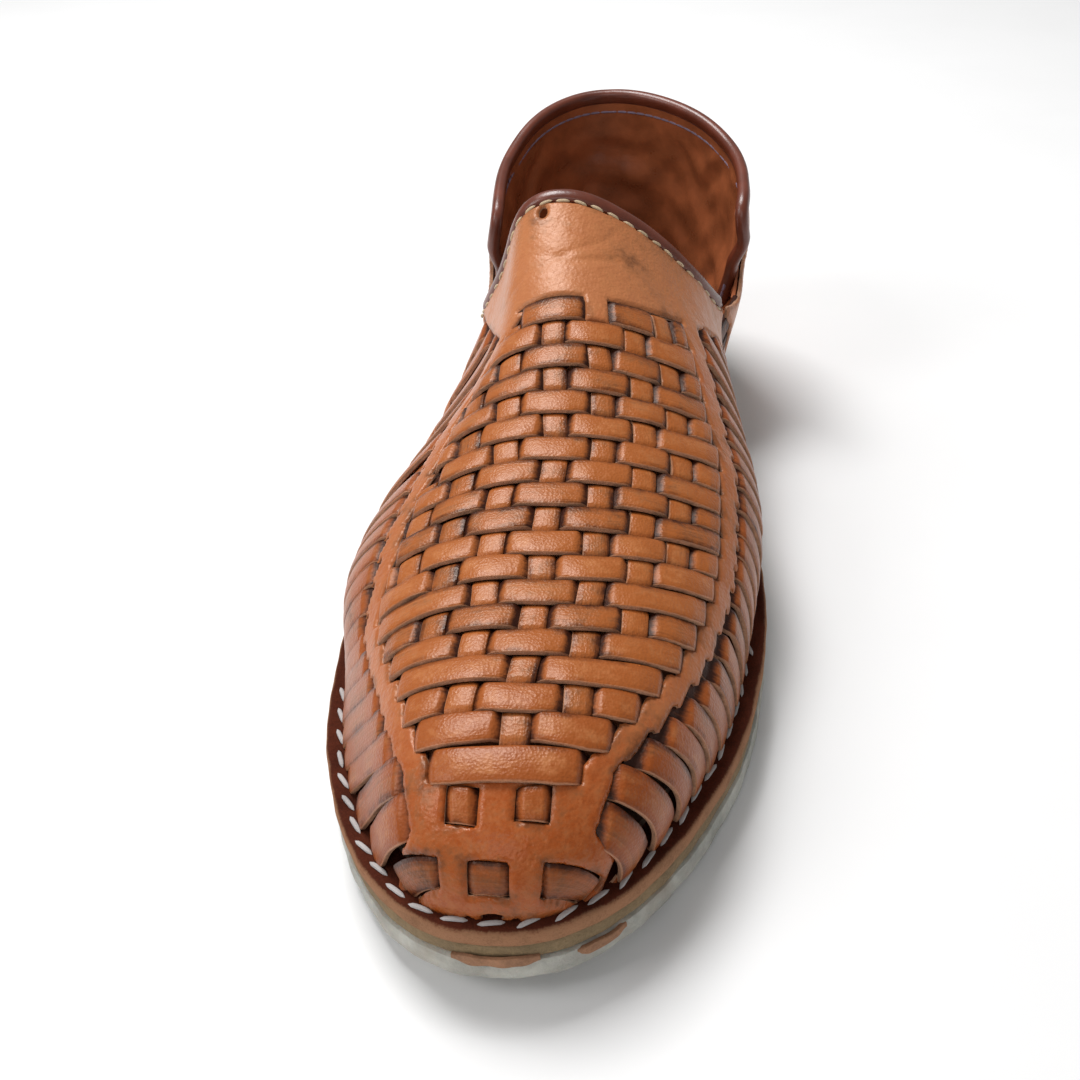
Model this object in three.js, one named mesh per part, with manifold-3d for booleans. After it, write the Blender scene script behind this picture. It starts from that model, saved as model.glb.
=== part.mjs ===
// A woven leather huarache for the left foot: three sole layers, an insole, a woven upper and two
// rolled bindings.
// Millimetres, +Z up, toe towards -Y, the outer (lateral) side of the foot towards +X.
import * as THREE from 'three';
import { mergeVertices } from 'three/addons/utils/BufferGeometryUtils.js';
import Module from 'manifold-3d';

const wasm = await Module();
wasm.setup();

// Driving dimensions
const LENGTH = 290;
const GAP = 0.3;
const OUTSOLE_THICK = 6;
const MIDSOLE_THICK = 4.5;
const WELT_THICK = 4.5;
const INSOLE_THICK = 2.5;
const INSOLE_MARGIN = 2.3;
const MIDSOLE_STEP = 0.9;
const TOE_SPRING = 6;
const SPRING_LENGTH = 75;
const WAIST_LIFT = 1.5;
const WAIST_START = 0.47;
const WAIST_SPAN = 0.24;
const WALL = 2;
const BINDING_WIDTH = 4;
const BINDING_PROUD = 1;
const UPPER_TOE = 3.5;
const UPPER_HEEL = 286.5;
const TOE_ROUND = 0.2;
const HEEL_ROUND = 0.21;
const SOLE_HEEL_ROUND = 0.17;
const PLAN_POWER = 2.2;
const CROWN_ROUND = 0.14;
const BELLY_TOE_ROUND = 0.1;
const BELLY_HEEL_ROUND = 0.08;
const HEEL_START = 0.78;
const HEEL_BELLY = 1.5;
const HEEL_PULL = 6;
const COUNTER_HEIGHT = 70;
const END_INSET = 0.02;

// Sole outline: distance from the toe as a share of the length, half width, and how far its middle lies
// to +X
const SOLE_SECTIONS = [
  { at: 0.0, half: 36.0, middle: -5.0 },
  { at: 0.12, half: 42.0, middle: -3.8 },
  { at: 0.22, half: 49.0, middle: -2.2 },
  { at: 0.33, half: 52.5, middle: -0.8 },
  { at: 0.44, half: 50.5, middle: 0.6 },
  { at: 0.54, half: 45.0, middle: 2.5 },
  { at: 0.64, half: 40.0, middle: 4.5 },
  { at: 0.75, half: 38.5, middle: 6.5 },
  { at: 0.87, half: 38.5, middle: 7.5 },
  { at: 1.0, half: 36.0, middle: 7.5 },
];

// Last sections from toe to heel: height over the welt, belly of the side wall, roundness of the crown
// and of the sides of the arch (smaller is squarer), shift of the ridge to +X, welt left free beside
// the wall, and flare of the outer side at the collar
const LAST_SECTIONS = [
  { at: 0.0, height: 25, belly: 2.0, crown: 0.83, side: 0.83, ridge: 0.5, welt: 3.5, flare: 0 },
  { at: 0.1, height: 29, belly: 1.8, crown: 0.83, side: 0.83, ridge: 0.5, welt: 4.4, flare: 0 },
  { at: 0.2, height: 34, belly: -0.4, crown: 0.87, side: 0.87, ridge: 0.5, welt: 4.9, flare: 0 },
  { at: 0.3, height: 40, belly: 1.4, crown: 0.93, side: 0.93, ridge: 0.0, welt: 5.0, flare: 0 },
  { at: 0.4, height: 48, belly: 6.2, crown: 0.98, side: 1.06, ridge: 0.5, welt: 4.7, flare: 0 },
  { at: 0.5, height: 59, belly: 7.8, crown: 1.0, side: 1.28, ridge: 0.0, welt: 4.5, flare: 0 },
  { at: 0.6, height: 72, belly: 7.5, crown: 0.96, side: 1.3, ridge: -5.0, welt: 4.5, flare: 1 },
  { at: 0.67, height: 81.5, belly: 4.6, crown: 0.93, side: 1.18, ridge: -5.0, welt: 4.3, flare: 6 },
  { at: 0.74, height: 89.5, belly: 2.0, crown: 0.88, side: 0.97, ridge: -2.0, welt: 4.1, flare: 26 },
  { at: 0.8, height: 95, belly: 2.5, crown: 0.8, side: 0.8, ridge: 0.0, welt: 4.0, flare: 21 },
  { at: 0.9, height: 100, belly: 2.5, crown: 0.69, side: 0.69, ridge: 0.0, welt: 3.5, flare: 11 },
  { at: 1.0, height: 100, belly: 2.5, crown: 0.67, side: 0.67, ridge: 0.0, welt: 3.5, flare: 0 },
];

// Inner side of the last: how far it is drawn in at half height (tuck) and below the ridge (pinch)
const INNER_SECTIONS = [
  { at: 0.0, tuck: 0, pinch: 0 },
  { at: 0.1, tuck: 5.6, pinch: 0 },
  { at: 0.2, tuck: 2.7, pinch: 0 },
  { at: 0.3, tuck: -1.7, pinch: 0 },
  { at: 0.4, tuck: -0.7, pinch: 7.2 },
  { at: 0.5, tuck: -1.8, pinch: 16.8 },
  { at: 0.6, tuck: -2.6, pinch: 17.5 },
  { at: 0.67, tuck: -1.3, pinch: 8.8 },
  { at: 0.74, tuck: 0, pinch: 0 },
  { at: 0.8, tuck: 0, pinch: 0 },
  { at: 0.9, tuck: 1.5, pinch: 0 },
  { at: 1.0, tuck: 0, pinch: 0 },
];

// Woven panel of the vamp: half width across its middle line at each distance from the toe
const PANEL_SECTIONS = [
  { at: 18, half: 12 },
  { at: 23, half: 15 },
  { at: 30, half: 20 },
  { at: 44, half: 28.5 },
  { at: 57, half: 36 },
  { at: 71, half: 41 },
  { at: 92, half: 42 },
  { at: 119, half: 42 },
  { at: 133, half: 36 },
  { at: 140, half: 30 },
  { at: 151, half: 20 },
];
const ROWS = 19;
const ROW_FIRST = 22.5;
const ROW_PITCH = 6.87;
const STRIPS = 7;
const STRIP_PITCH = 10.8;
const WEAVE_SHIFT = 2.2;
const STRIP_WIDTH = 5.8;
const STRIP_FLAT = 0.4;
const STRIP_EDGE = 0.34;
const FLOAT_RISE = 1.5;
const STRIP_RISE = 0.5;
const GROOVE_RISE = 0.05;
const GROOVE_HALF = 0.1;
const BAND_WIDTH = 8.5;
const SIDE_RISE = 1.1;
const STRAP_RISE = 1.1;
const STRAP_TOP = 42;
const STRAP_START = 108;
const STRAP_PLAIN = 200;
const SIDE_STRIP_FIRST = 6;
const SIDE_STRIP_PITCH = 9;
const SIDE_WEAVE_END = 150;
const PANEL_SHARE = 0.74;
const SIDE_LINES = 5;
const TOE_LINES = 6;
const HEEL_LINES = 16;

// Side view of the collar opening, as distance from the toe and height over the floor
const THROAT_EDGE = [
  { s: 179.5, z: 130 },
  { s: 179.5, z: 92 },
  { s: 181, z: 80 },
  { s: 185, z: 66 },
  { s: 192, z: 54 },
];
const OPENING_FLOOR = [
  { s: 200, z: 47 },
  { s: 208, z: 44 },
  { s: 216, z: 45 },
];
const TOPLINE = [
  { s: 222, z: 50 },
  { s: 219, z: 58 },
  { s: 214, z: 65 },
  { s: 216, z: 71 },
  { s: 228, z: 73.5 },
  { s: 250, z: 77 },
  { s: 272, z: 82 },
  { s: 300, z: 86 },
];

// Openings below the counter's wings: the slit above the side strap and the eye between strap and sole
const SIDE_EYES = [
  { s: 236, z: 46, half: 15, rise: 2.2, tilt: 8 },
  { s: 232, z: 25, half: 15, rise: 4, tilt: 0 },
];

// Gaps between side strips: the cross strip they follow, counted from the toe, the share of the way
// down the side, their length and their width
const SIDE_SLOTS = [
  { row: 0, share: 0.72, length: 12, width: 2.6 },
  { row: 1, share: 0.76, length: 13, width: 2.2 },
  { row: 2, share: 0.8, length: 12, width: 1.6 },
  { row: 4, share: 0.84, length: 11, width: 1.2 },
  { row: 6, share: 0.86, length: 11, width: 1.2 },
  { row: 8, share: 0.86, length: 11, width: 1.2 },
  { row: 10, share: 0.86, length: 11, width: 1.2 },
  { row: 12, share: 0.84, length: 9, width: 1.6 },
  { row: 14, share: 0.72, length: 9, width: 2 },
  { row: 16, share: 0.72, length: 9, width: 2.2 },
  { row: 18, share: 0.72, length: 9, width: 2.4 },
  { row: 20, share: 0.72, length: 9, width: 2.4 },
];

// Stretches of the collar that carry a rolled binding, as side view corners
const THROAT_REGION = { from: { s: 150, z: 52 }, to: { s: 199, z: 140 } };
const HEEL_REGION = { from: { s: 205, z: 52 }, to: { s: 310, z: 140 } };
const ABOVE_COLLAR = 150;
const BEHIND_HEEL = 15;

// Fineness of the faceted forms
const SOLE_STATIONS = 44;
const INSOLE_STATIONS = 36;
const LINING_MESH = { lines: 30, arch: 18 };
const BINDING_MESH = { lines: 32, arch: 20 };
const COLLAR_POINTS = 46;
const SLOT_DEPTH = 8;
const EYE_POINTS = 12;
const ARC_SAMPLES = 120;
const MERGE_REACH = 1e-3;
const MIN_HALF = 0.4;
const WELT_STEP = 0.2;
const SKIRT = 5;

const leather = new THREE.MeshStandardMaterial({ color: 0xb0693c, roughness: 0.5, metalness: 0 });
const bindingLeather = new THREE.MeshStandardMaterial({ color: 0x6e3c2d, roughness: 0.4, metalness: 0 });
const weltLeather = new THREE.MeshStandardMaterial({ color: 0xc0906c, roughness: 0.85, metalness: 0 });
const sockLeather = new THREE.MeshStandardMaterial({ color: 0x695548, roughness: 0.7, metalness: 0 });
const oliveLayer = new THREE.MeshStandardMaterial({ color: 0x968264, roughness: 0.8, metalness: 0 });
const crepe = new THREE.MeshStandardMaterial({ color: 0xbebeb4, roughness: 0.75, metalness: 0 });

// Smooth curve through a column of a table, with slopes taken from the neighbouring rows
function curve(rows, column) {
  const slope = (i) => {
    const before = rows[Math.max(i - 1, 0)];
    const after = rows[Math.min(i + 1, rows.length - 1)];
    return (after[column] - before[column]) / (after.at - before.at);
  };
  return (at) => {
    const x = THREE.MathUtils.clamp(at, rows[0].at, rows[rows.length - 1].at);
    const i = Math.max(rows.findIndex((row) => row.at >= x), 1) - 1;
    const step = rows[i + 1].at - rows[i].at;
    const u = (x - rows[i].at) / step;
    const rise = u * u * (3 - 2 * u);
    const blend = rows[i][column] * (1 - rise) + rows[i + 1][column] * rise;
    return blend + step * (slope(i) * u * (1 - u) ** 2 - slope(i + 1) * u * u * (1 - u));
  };
}

const soleHalf = curve(SOLE_SECTIONS, 'half');
const soleMiddle = curve(SOLE_SECTIONS, 'middle');
const lastHeight = curve(LAST_SECTIONS, 'height');
const lastBelly = curve(LAST_SECTIONS, 'belly');
const lastCrown = curve(LAST_SECTIONS, 'crown');
const lastSide = curve(LAST_SECTIONS, 'side');
const lastRidge = curve(LAST_SECTIONS, 'ridge');
const lastWelt = curve(LAST_SECTIONS, 'welt');
const lastFlare = curve(LAST_SECTIONS, 'flare');
const lastTuck = curve(INNER_SECTIONS, 'tuck');
const lastPinch = curve(INNER_SECTIONS, 'pinch');
const panelHalf = curve(PANEL_SECTIONS, 'half');

const WELT_TOP = OUTSOLE_THICK + MIDSOLE_THICK + WELT_THICK;
const UPPER_LENGTH = UPPER_HEEL - UPPER_TOE;

// Quarter of a rounded end: 0 at the tip, 1 once the round is complete
function roundEnd(share, power) {
  const x = THREE.MathUtils.clamp(share, 0, 1);
  return (1 - (1 - x) ** power) ** (1 / power);
}

function springLift(s) {
  return TOE_SPRING * Math.max((SPRING_LENGTH - s) / SPRING_LENGTH, 0) ** 2;
}

function waistLift(s) {
  const share = THREE.MathUtils.clamp((s / LENGTH - WAIST_START) / WAIST_SPAN, 0, 1);
  return WAIST_LIFT * Math.sin(Math.PI * share) ** 2;
}

// Half width of the sole at distance s from the toe
function soleEdge(s) {
  const share = s / LENGTH;
  const ends = roundEnd(share / TOE_ROUND, PLAN_POWER) * roundEnd((1 - share) / SOLE_HEEL_ROUND, PLAN_POWER);
  return soleHalf(share) * ends;
}

// Half width of the upper where it meets the welt
function featherHalf(s) {
  const share = (s - UPPER_TOE) / UPPER_LENGTH;
  const ends = roundEnd(share / TOE_ROUND, PLAN_POWER) * roundEnd((1 - share) / HEEL_ROUND, PLAN_POWER);
  return (soleHalf(s / LENGTH) - lastWelt(share)) * ends;
}

// Point of the last: s runs from toe to heel, the angle from the outer side (0) over the ridge to the
// inner side (PI)
function lastPoint(s, angle) {
  const share = (s - UPPER_TOE) / UPPER_LENGTH;
  const across = Math.sign(Math.cos(angle)) * Math.abs(Math.cos(angle)) ** lastCrown(share);
  const up = Math.abs(Math.sin(angle)) ** lastSide(share);
  const height = lastHeight(share) * roundEnd(share / CROWN_ROUND, PLAN_POWER);
  const ends = roundEnd(share / BELLY_TOE_ROUND, 2) * roundEnd((1 - share) / BELLY_HEEL_ROUND, 2);
  const belly = lastBelly(share) * ends * 4 * up * (1 - up);
  const flare = lastFlare(share) * up * Math.max(across, 0);
  const drawn = lastTuck(share) * 4 * up * (1 - up) + lastPinch(share) * 6.75 * up * up * (1 - up);
  const ridge = lastRidge(share) * up * up;
  const x = soleMiddle(s / LENGTH) + (featherHalf(s) + belly) * across + flare + ridge
    + drawn * Math.max(-across, 0);
  const rise = height * up;
  const heel = THREE.MathUtils.smoothstep(share, HEEL_START, 1);
  const lean = Math.min(rise / COUNTER_HEIGHT, 1);
  const back = heel * (HEEL_BELLY * Math.sin(Math.PI * lean) - HEEL_PULL * lean * lean);
  return new THREE.Vector3(x, s - LENGTH / 2 + back, WELT_TOP + GAP + springLift(s) + rise);
}

function lastNormal(s, angle) {
  const reach = 0.4;
  const turn = 0.01;
  const from = THREE.MathUtils.clamp(s, UPPER_TOE + 2 * reach, UPPER_HEEL - 2 * reach);
  const bend = THREE.MathUtils.clamp(angle, 2 * turn, Math.PI - 2 * turn);
  const along = lastPoint(from + reach, bend).sub(lastPoint(from - reach, bend));
  const around = lastPoint(from, bend + turn).sub(lastPoint(from, bend - turn));
  return along.cross(around).normalize();
}

// Arc length over a section, measured from the ridge: positive towards the outer side
function sectionArc(s) {
  const points = Array.from({ length: ARC_SAMPLES + 1 }, (_, i) => lastPoint(s, (Math.PI * i) / ARC_SAMPLES));
  const arc = [0];
  for (let i = 1; i <= ARC_SAMPLES; i += 1) {
    arc.push(arc[i - 1] + points[i].distanceTo(points[i - 1]));
  }
  const ridge = arc[ARC_SAMPLES / 2];
  const angleAt = (a) => {
    const target = THREE.MathUtils.clamp(ridge - a, 0, arc[ARC_SAMPLES]);
    const i = Math.max(arc.findIndex((value) => value >= target), 1) - 1;
    const part = (target - arc[i]) / Math.max(arc[i + 1] - arc[i], Number.EPSILON);
    return (Math.PI * (i + part)) / ARC_SAMPLES;
  };
  return { angleAt, outer: ridge, inner: arc[ARC_SAMPLES] - ridge };
}

// Height of the weave over the wall at distance s from the toe and arc a from the middle of the weave
function weaveRise(s, a, height) {
  const row = Math.round((s - ROW_FIRST) / ROW_PITCH);
  const crown = Math.abs((s - ROW_FIRST) / ROW_PITCH - row) < STRIP_FLAT ? 1 : 0;
  const inside = s > PANEL_SECTIONS[0].at && s < PANEL_SECTIONS[PANEL_SECTIONS.length - 1].at;
  const half = panelHalf(s);
  const reach = Math.abs(a);
  if (inside && reach < half) {
    const strip = Math.round(a / STRIP_PITCH);
    const offset = Math.abs(a - strip * STRIP_PITCH);
    const onTop = (row + strip) % 2 === 0 && Math.abs(strip) < STRIPS / 2;
    const edge = STRIP_WIDTH / 2;
    if (onTop && offset < edge - GROOVE_HALF) {
      return STRIP_RISE;
    }
    if (onTop && offset < edge + GROOVE_HALF) {
      return GROOVE_RISE;
    }
    return GROOVE_RISE + (FLOAT_RISE - GROOVE_RISE) * crown;
  }
  if (s > STRAP_START && s < STRAP_PLAIN && height < STRAP_TOP) {
    const column = Math.round((height - WELT_TOP - SIDE_STRIP_FIRST) / SIDE_STRIP_PITCH);
    return (row + column) % 2 === 0 ? STRAP_RISE : SIDE_RISE * crown;
  }
  if (s >= STRAP_PLAIN && height < STRAP_TOP) {
    return STRAP_RISE;
  }
  if (s < SIDE_WEAVE_END && reach > half + BAND_WIDTH) {
    return SIDE_RISE * crown;
  }
  return STRIP_RISE;
}

// Closed body over a lattice of arches: each line is an arch of points from the outer to the inner foot
// of the wall
function archSolid(lines) {
  const columns = lines[0].length;
  const positions = lines.flat().flatMap((point) => point.toArray());
  const index = [];
  const quad = (a, b, c, d) => index.push(a, b, c, a, c, d);
  for (let i = 0; i + 1 < lines.length; i += 1) {
    const here = i * columns;
    const next = here + columns;
    for (let j = 0; j + 1 < columns; j += 1) {
      quad(here + j, next + j, next + j + 1, here + j + 1);
    }
    quad(here + columns - 1, next + columns - 1, next, here);
  }
  const capEnd = (start, flip) => {
    for (let j = 0; j < (columns - 1) / 2; j += 1) {
      const corner = [start + j, start + j + 1, start + columns - 2 - j, start + columns - 1 - j];
      quad(...(flip ? corner.reverse() : corner));
    }
  };
  capEnd(0, false);
  capEnd((lines.length - 1) * columns, true);
  return closedGeometry(positions, index);
}

// Geometry with shared vertices, no collapsed faces and its faces pointing out
function closedGeometry(positions, index) {
  const raw = new THREE.BufferGeometry();
  raw.setAttribute('position', new THREE.Float32BufferAttribute(positions, 3));
  raw.setIndex(index);
  const merged = mergeVertices(raw, MERGE_REACH);
  const found = merged.getIndex().array;
  const point = (i) => new THREE.Vector3().fromBufferAttribute(merged.getAttribute('position'), i);
  const kept = [];
  let volume = 0;
  for (let i = 0; i < found.length; i += 3) {
    const [a, b, c] = [found[i], found[i + 1], found[i + 2]];
    if (a !== b && b !== c && c !== a) {
      kept.push(a, b, c);
      volume += point(a).dot(point(b).cross(point(c)));
    }
  }
  merged.setIndex(volume > 0 ? kept : kept.reverse());
  return merged;
}

function solid(geometry) {
  const plain = geometry.clone();
  plain.deleteAttribute('normal');
  plain.deleteAttribute('uv');
  const merged = mergeVertices(plain, MERGE_REACH);
  return new wasm.Manifold(new wasm.Mesh({
    numProp: 3,
    vertProperties: new Float32Array(merged.getAttribute('position').array),
    triVerts: new Uint32Array(merged.getIndex().array),
  }));
}

function geometryOf(body) {
  const mesh = body.getMesh();
  const geometry = new THREE.BufferGeometry();
  const positions = [];
  for (let i = 0; i < mesh.vertProperties.length; i += mesh.numProp) {
    positions.push(...mesh.vertProperties.slice(i, i + 3));
  }
  geometry.setAttribute('position', new THREE.Float32BufferAttribute(positions, 3));
  geometry.setIndex(Array.from(mesh.triVerts));
  geometry.computeVertexNormals();
  return geometry;
}

// Distances from the toe that crowd together at both rounded ends
function stations(from, to, count) {
  return Array.from({ length: count + 1 }, (_, i) => {
    return from + (to - from) * (0.5 - 0.5 * Math.cos((Math.PI * i) / count));
  });
}

// Layer of the sole between two heights, following the toe spring
function soleLayer(step, low, high, lowLift) {
  const lines = stations(END_INSET, LENGTH - END_INSET, SOLE_STATIONS).map((s) => {
    const y = s - LENGTH / 2;
    const middle = soleMiddle(s / LENGTH);
    const half = Math.max(soleEdge(s) - step, MIN_HALF);
    const bottom = low + springLift(s) + lowLift(s);
    const top = high + springLift(s);
    return [
      new THREE.Vector3(middle + half, y, bottom),
      new THREE.Vector3(middle + half, y, top),
      new THREE.Vector3(middle - half, y, top),
      new THREE.Vector3(middle - half, y, bottom),
    ];
  });
  return archSolid(lines);
}

const flat = () => 0;

function insoleGeometry() {
  const edge = WALL + INSOLE_MARGIN;
  const lines = stations(UPPER_TOE + edge, UPPER_HEEL - edge, INSOLE_STATIONS).map((s) => {
    const y = s - LENGTH / 2;
    const middle = soleMiddle(s / LENGTH);
    const share = (s - UPPER_TOE - edge) / (UPPER_LENGTH - 2 * edge);
    const ends = roundEnd(share / TOE_ROUND, PLAN_POWER) * roundEnd((1 - share) / HEEL_ROUND, PLAN_POWER);
    const full = soleHalf(s / LENGTH) - lastWelt((s - UPPER_TOE) / UPPER_LENGTH) - edge;
    const half = Math.max(full * ends, MIN_HALF);
    const bottom = WELT_TOP + GAP + springLift(s);
    return [
      new THREE.Vector3(middle + half, y, bottom),
      new THREE.Vector3(middle + half, y, bottom + INSOLE_THICK),
      new THREE.Vector3(middle - half, y, bottom + INSOLE_THICK),
      new THREE.Vector3(middle - half, y, bottom),
    ];
  });
  return archSolid(lines);
}

// Places of the weave's lines across the vamp: both edges and the middle of each strip, and the middle
// of each float
function panelColumns() {
  const columns = [];
  const last = (STRIPS - 1) / 2;
  for (let strip = -last; strip <= last; strip += 1) {
    const middle = strip * STRIP_PITCH;
    columns.push(middle - STRIP_PITCH / 2, middle - STRIP_WIDTH / 2, middle, middle + STRIP_WIDTH / 2);
  }
  columns.push((STRIPS * STRIP_PITCH) / 2);
  return columns;
}

// The woven outside: lines follow the middle and the border of each cross strip
function outerForm() {
  const sideShares = Array.from({ length: SIDE_LINES }, (_, i) => (i + 1) / SIDE_LINES);
  const across = panelColumns();
  const rowLines = Array.from({ length: ROWS }, (_, i) => ROW_FIRST + i * ROW_PITCH).flatMap((s) => {
    return [s - ROW_PITCH / 2, s - STRIP_EDGE * ROW_PITCH, s + STRIP_EDGE * ROW_PITCH];
  });
  const toeLines = Array.from({ length: TOE_LINES }, (_, i) => {
    return UPPER_TOE + END_INSET + (rowLines[0] - UPPER_TOE) * (i / TOE_LINES) ** 2;
  });
  const lastRow = rowLines[rowLines.length - 1];
  const heelLines = stations(lastRow, UPPER_HEEL - END_INSET, HEEL_LINES + 1).slice(2);
  const lines = [...toeLines, ...rowLines, ...heelLines].map((s) => {
    const arc = sectionArc(s);
    const room = Math.min(arc.outer, arc.inner) * PANEL_SHARE;
    const squeeze = Math.min(1, room / across[across.length - 1]);
    const reach = across[across.length - 1] * squeeze;
    const shift = WEAVE_SHIFT * squeeze;
    const outerStart = shift + reach;
    const innerStart = reach - shift;
    const outer = sideShares.map((share) => outerStart + (arc.outer - outerStart) * share).reverse();
    const inner = sideShares.map((share) => -innerStart - (arc.inner - innerStart) * share);
    const middle = across.map((a) => shift - a * squeeze);
    return [...outer, ...middle, ...inner].map((a) => {
      const angle = arc.angleAt(a);
      const point = lastPoint(s, angle);
      const foot = a === outer[0] || a === inner[inner.length - 1];
      const end = s < UPPER_TOE + 1 || s > UPPER_HEEL - 1;
      const rise = foot || end ? 0 : weaveRise(s, (a - shift) / squeeze, point.z);
      return point.addScaledVector(lastNormal(s, angle), rise);
    });
  });
  return archSolid(lines);
}

// Smooth form of the last, moved in (negative) or out (positive) along its normals, and down by a skirt
function smoothForm(offset, skirt, fine) {
  const lines = stations(UPPER_TOE + END_INSET, UPPER_HEEL - END_INSET, fine.lines).map((s) => {
    const arch = Array.from({ length: fine.arch + 1 }, (_, j) => {
      const angle = (Math.PI * j) / fine.arch;
      return lastPoint(s, angle).addScaledVector(lastNormal(s, angle), offset);
    });
    const down = new THREE.Vector3(0, 0, -skirt);
    return [arch[0].clone().add(down), ...arch, arch[fine.arch].clone().add(down)];
  });
  return archSolid(lines);
}

// Side view outline pushed through the whole width
function sideCut(points) {
  const shape = new THREE.Shape(points.map((p) => new THREE.Vector2(p.x, p.y)));
  const geometry = new THREE.ExtrudeGeometry(shape, { depth: LENGTH, bevelEnabled: false, steps: 1 });
  geometry.translate(0, 0, -LENGTH / 2);
  const turn = new THREE.Matrix4().makeBasis(
    new THREE.Vector3(0, 1, 0),
    new THREE.Vector3(0, 0, 1),
    new THREE.Vector3(1, 0, 0),
  );
  geometry.applyMatrix4(turn);
  return solid(geometry);
}

function edgeCurve(rows, count) {
  const path = new THREE.CatmullRomCurve3(rows.map((row) => new THREE.Vector3(row.s - LENGTH / 2, row.z, 0)));
  return path.getSpacedPoints(count).map((p) => new THREE.Vector2(p.x, p.y));
}

// The collar outline moved outwards by a margin
function collarOutline(margin) {
  const line = edgeCurve([...THROAT_EDGE, ...OPENING_FLOOR, ...TOPLINE], COLLAR_POINTS);
  const moved = line.map((p, i) => {
    const before = line[Math.max(i - 1, 0)];
    const after = line[Math.min(i + 1, line.length - 1)];
    const along = after.clone().sub(before).normalize();
    return new THREE.Vector2(p.x + along.y * margin, p.y - along.x * margin);
  });
  const behind = new THREE.Vector2(LENGTH / 2 + BEHIND_HEEL, ABOVE_COLLAR);
  return [...moved, behind, new THREE.Vector2(moved[0].x, ABOVE_COLLAR)];
}

// Box between two side view corners, through the whole width
function sideBox(from, to) {
  const corners = [[from.s, from.z], [to.s, from.z], [to.s, to.z], [from.s, to.z]];
  return sideCut(corners.map(([s, z]) => new THREE.Vector2(s - LENGTH / 2, z)));
}

// Eye shaped hole in the side view: middle, half length, half height and tilt
function eyeCut(eye) {
  const points = Array.from({ length: EYE_POINTS }, (_, i) => {
    const turn = (2 * Math.PI * i) / EYE_POINTS;
    const x = eye.half * Math.cos(turn);
    const y = eye.rise * Math.sin(turn);
    const tilt = THREE.MathUtils.degToRad(eye.tilt);
    const s = eye.s + x * Math.cos(tilt) - y * Math.sin(tilt);
    return new THREE.Vector2(s - LENGTH / 2, eye.z + x * Math.sin(tilt) + y * Math.cos(tilt));
  });
  return sideCut(points);
}

// Slot between two neighbouring side strips, square to the wall
function slotCut(slot, side) {
  const s = ROW_FIRST + (slot.row + 0.5) * ROW_PITCH;
  const arc = sectionArc(s);
  const reach = side > 0 ? arc.outer : arc.inner;
  const middle = lastPoint(s, arc.angleAt(side * reach * slot.share));
  const out = lastNormal(s, arc.angleAt(side * reach * slot.share));
  const down = lastPoint(s, arc.angleAt(side * (reach * slot.share + WALL))).sub(middle);
  down.addScaledVector(out, -down.dot(out)).normalize();
  const along = out.clone().cross(down);
  const box = new THREE.BoxGeometry(slot.length, slot.width, SLOT_DEPTH * WALL);
  box.applyMatrix4(new THREE.Matrix4().makeBasis(down, along, out).setPosition(middle));
  return solid(closedGeometry(box.getAttribute('position').array, Array.from(box.getIndex().array)));
}

function union(bodies) {
  return bodies.reduce((whole, body) => whole.add(body));
}

function collarPieces() {
  const opening = sideCut(collarOutline(0));
  const band = sideCut(collarOutline(BINDING_WIDTH)).subtract(opening);
  const wide = sideCut(collarOutline(BINDING_WIDTH + GAP));
  const grow = (region, by) => sideBox(
    { s: region.from.s - by, z: region.from.z - by },
    { s: region.to.s + by, z: region.to.z + by },
  );
  const outside = solid(smoothForm(BINDING_PROUD, 0, BINDING_MESH));
  const rim = outside.subtract(solid(smoothForm(-WALL - BINDING_PROUD, SKIRT, BINDING_MESH)));
  const regions = [THROAT_REGION, HEEL_REGION];
  const bindings = regions.map((region) => rim.intersect(band).intersect(grow(region, 0)));
  const room = wide.intersect(union(regions.map((region) => grow(region, GAP))));
  return { bindings, cut: opening.add(room) };
}

const collar = collarPieces();

function upperBody() {
  const shell = solid(outerForm()).subtract(solid(smoothForm(-WALL, SKIRT, LINING_MESH)));
  const slots = [1, -1].flatMap((side) => SIDE_SLOTS.map((slot) => slotCut(slot, side)));
  return shell.subtract(union([collar.cut, ...SIDE_EYES.map(eyeCut), ...slots]));
}

function piece(name, geometry, material) {
  const mesh = new THREE.Mesh(geometry, material);
  mesh.name = name;
  return mesh;
}

const midsoleTop = OUTSOLE_THICK + MIDSOLE_THICK;
const shoe = new THREE.Group();
shoe.add(
  piece('outsole', soleLayer(0, 0, OUTSOLE_THICK - GAP, waistLift), crepe),
  piece('midsole', soleLayer(MIDSOLE_STEP, OUTSOLE_THICK, midsoleTop - GAP, flat), oliveLayer),
  piece('welt', soleLayer(WELT_STEP, midsoleTop, WELT_TOP, flat), weltLeather),
  piece('insole', insoleGeometry(), sockLeather),
  piece('upper', geometryOf(upperBody()), leather),
  piece('throat_binding', geometryOf(collar.bindings[0]), bindingLeather),
  piece('heel_binding', geometryOf(collar.bindings[1]), bindingLeather),
);

// The shoe stands on the floor with the middle of its box over the origin
const box = new THREE.Box3().setFromObject(shoe);
const middle = box.getCenter(new THREE.Vector3());
shoe.position.set(-middle.x, -middle.y, -box.min.z);

export default shoe;
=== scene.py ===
"""Looks of a woven leather huarache for the left foot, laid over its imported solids.

Shapes are worked out in millimetres on the shoe's last. A place on the last is given by its distance s
from the toe and its arc a over the section, measured from the ridge and positive on the outer side, or by
s and a height z over the floor. Points go into the meshes in metres.
"""

import functools

import bpy
import numpy as np
from mathutils import Matrix, Vector


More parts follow.
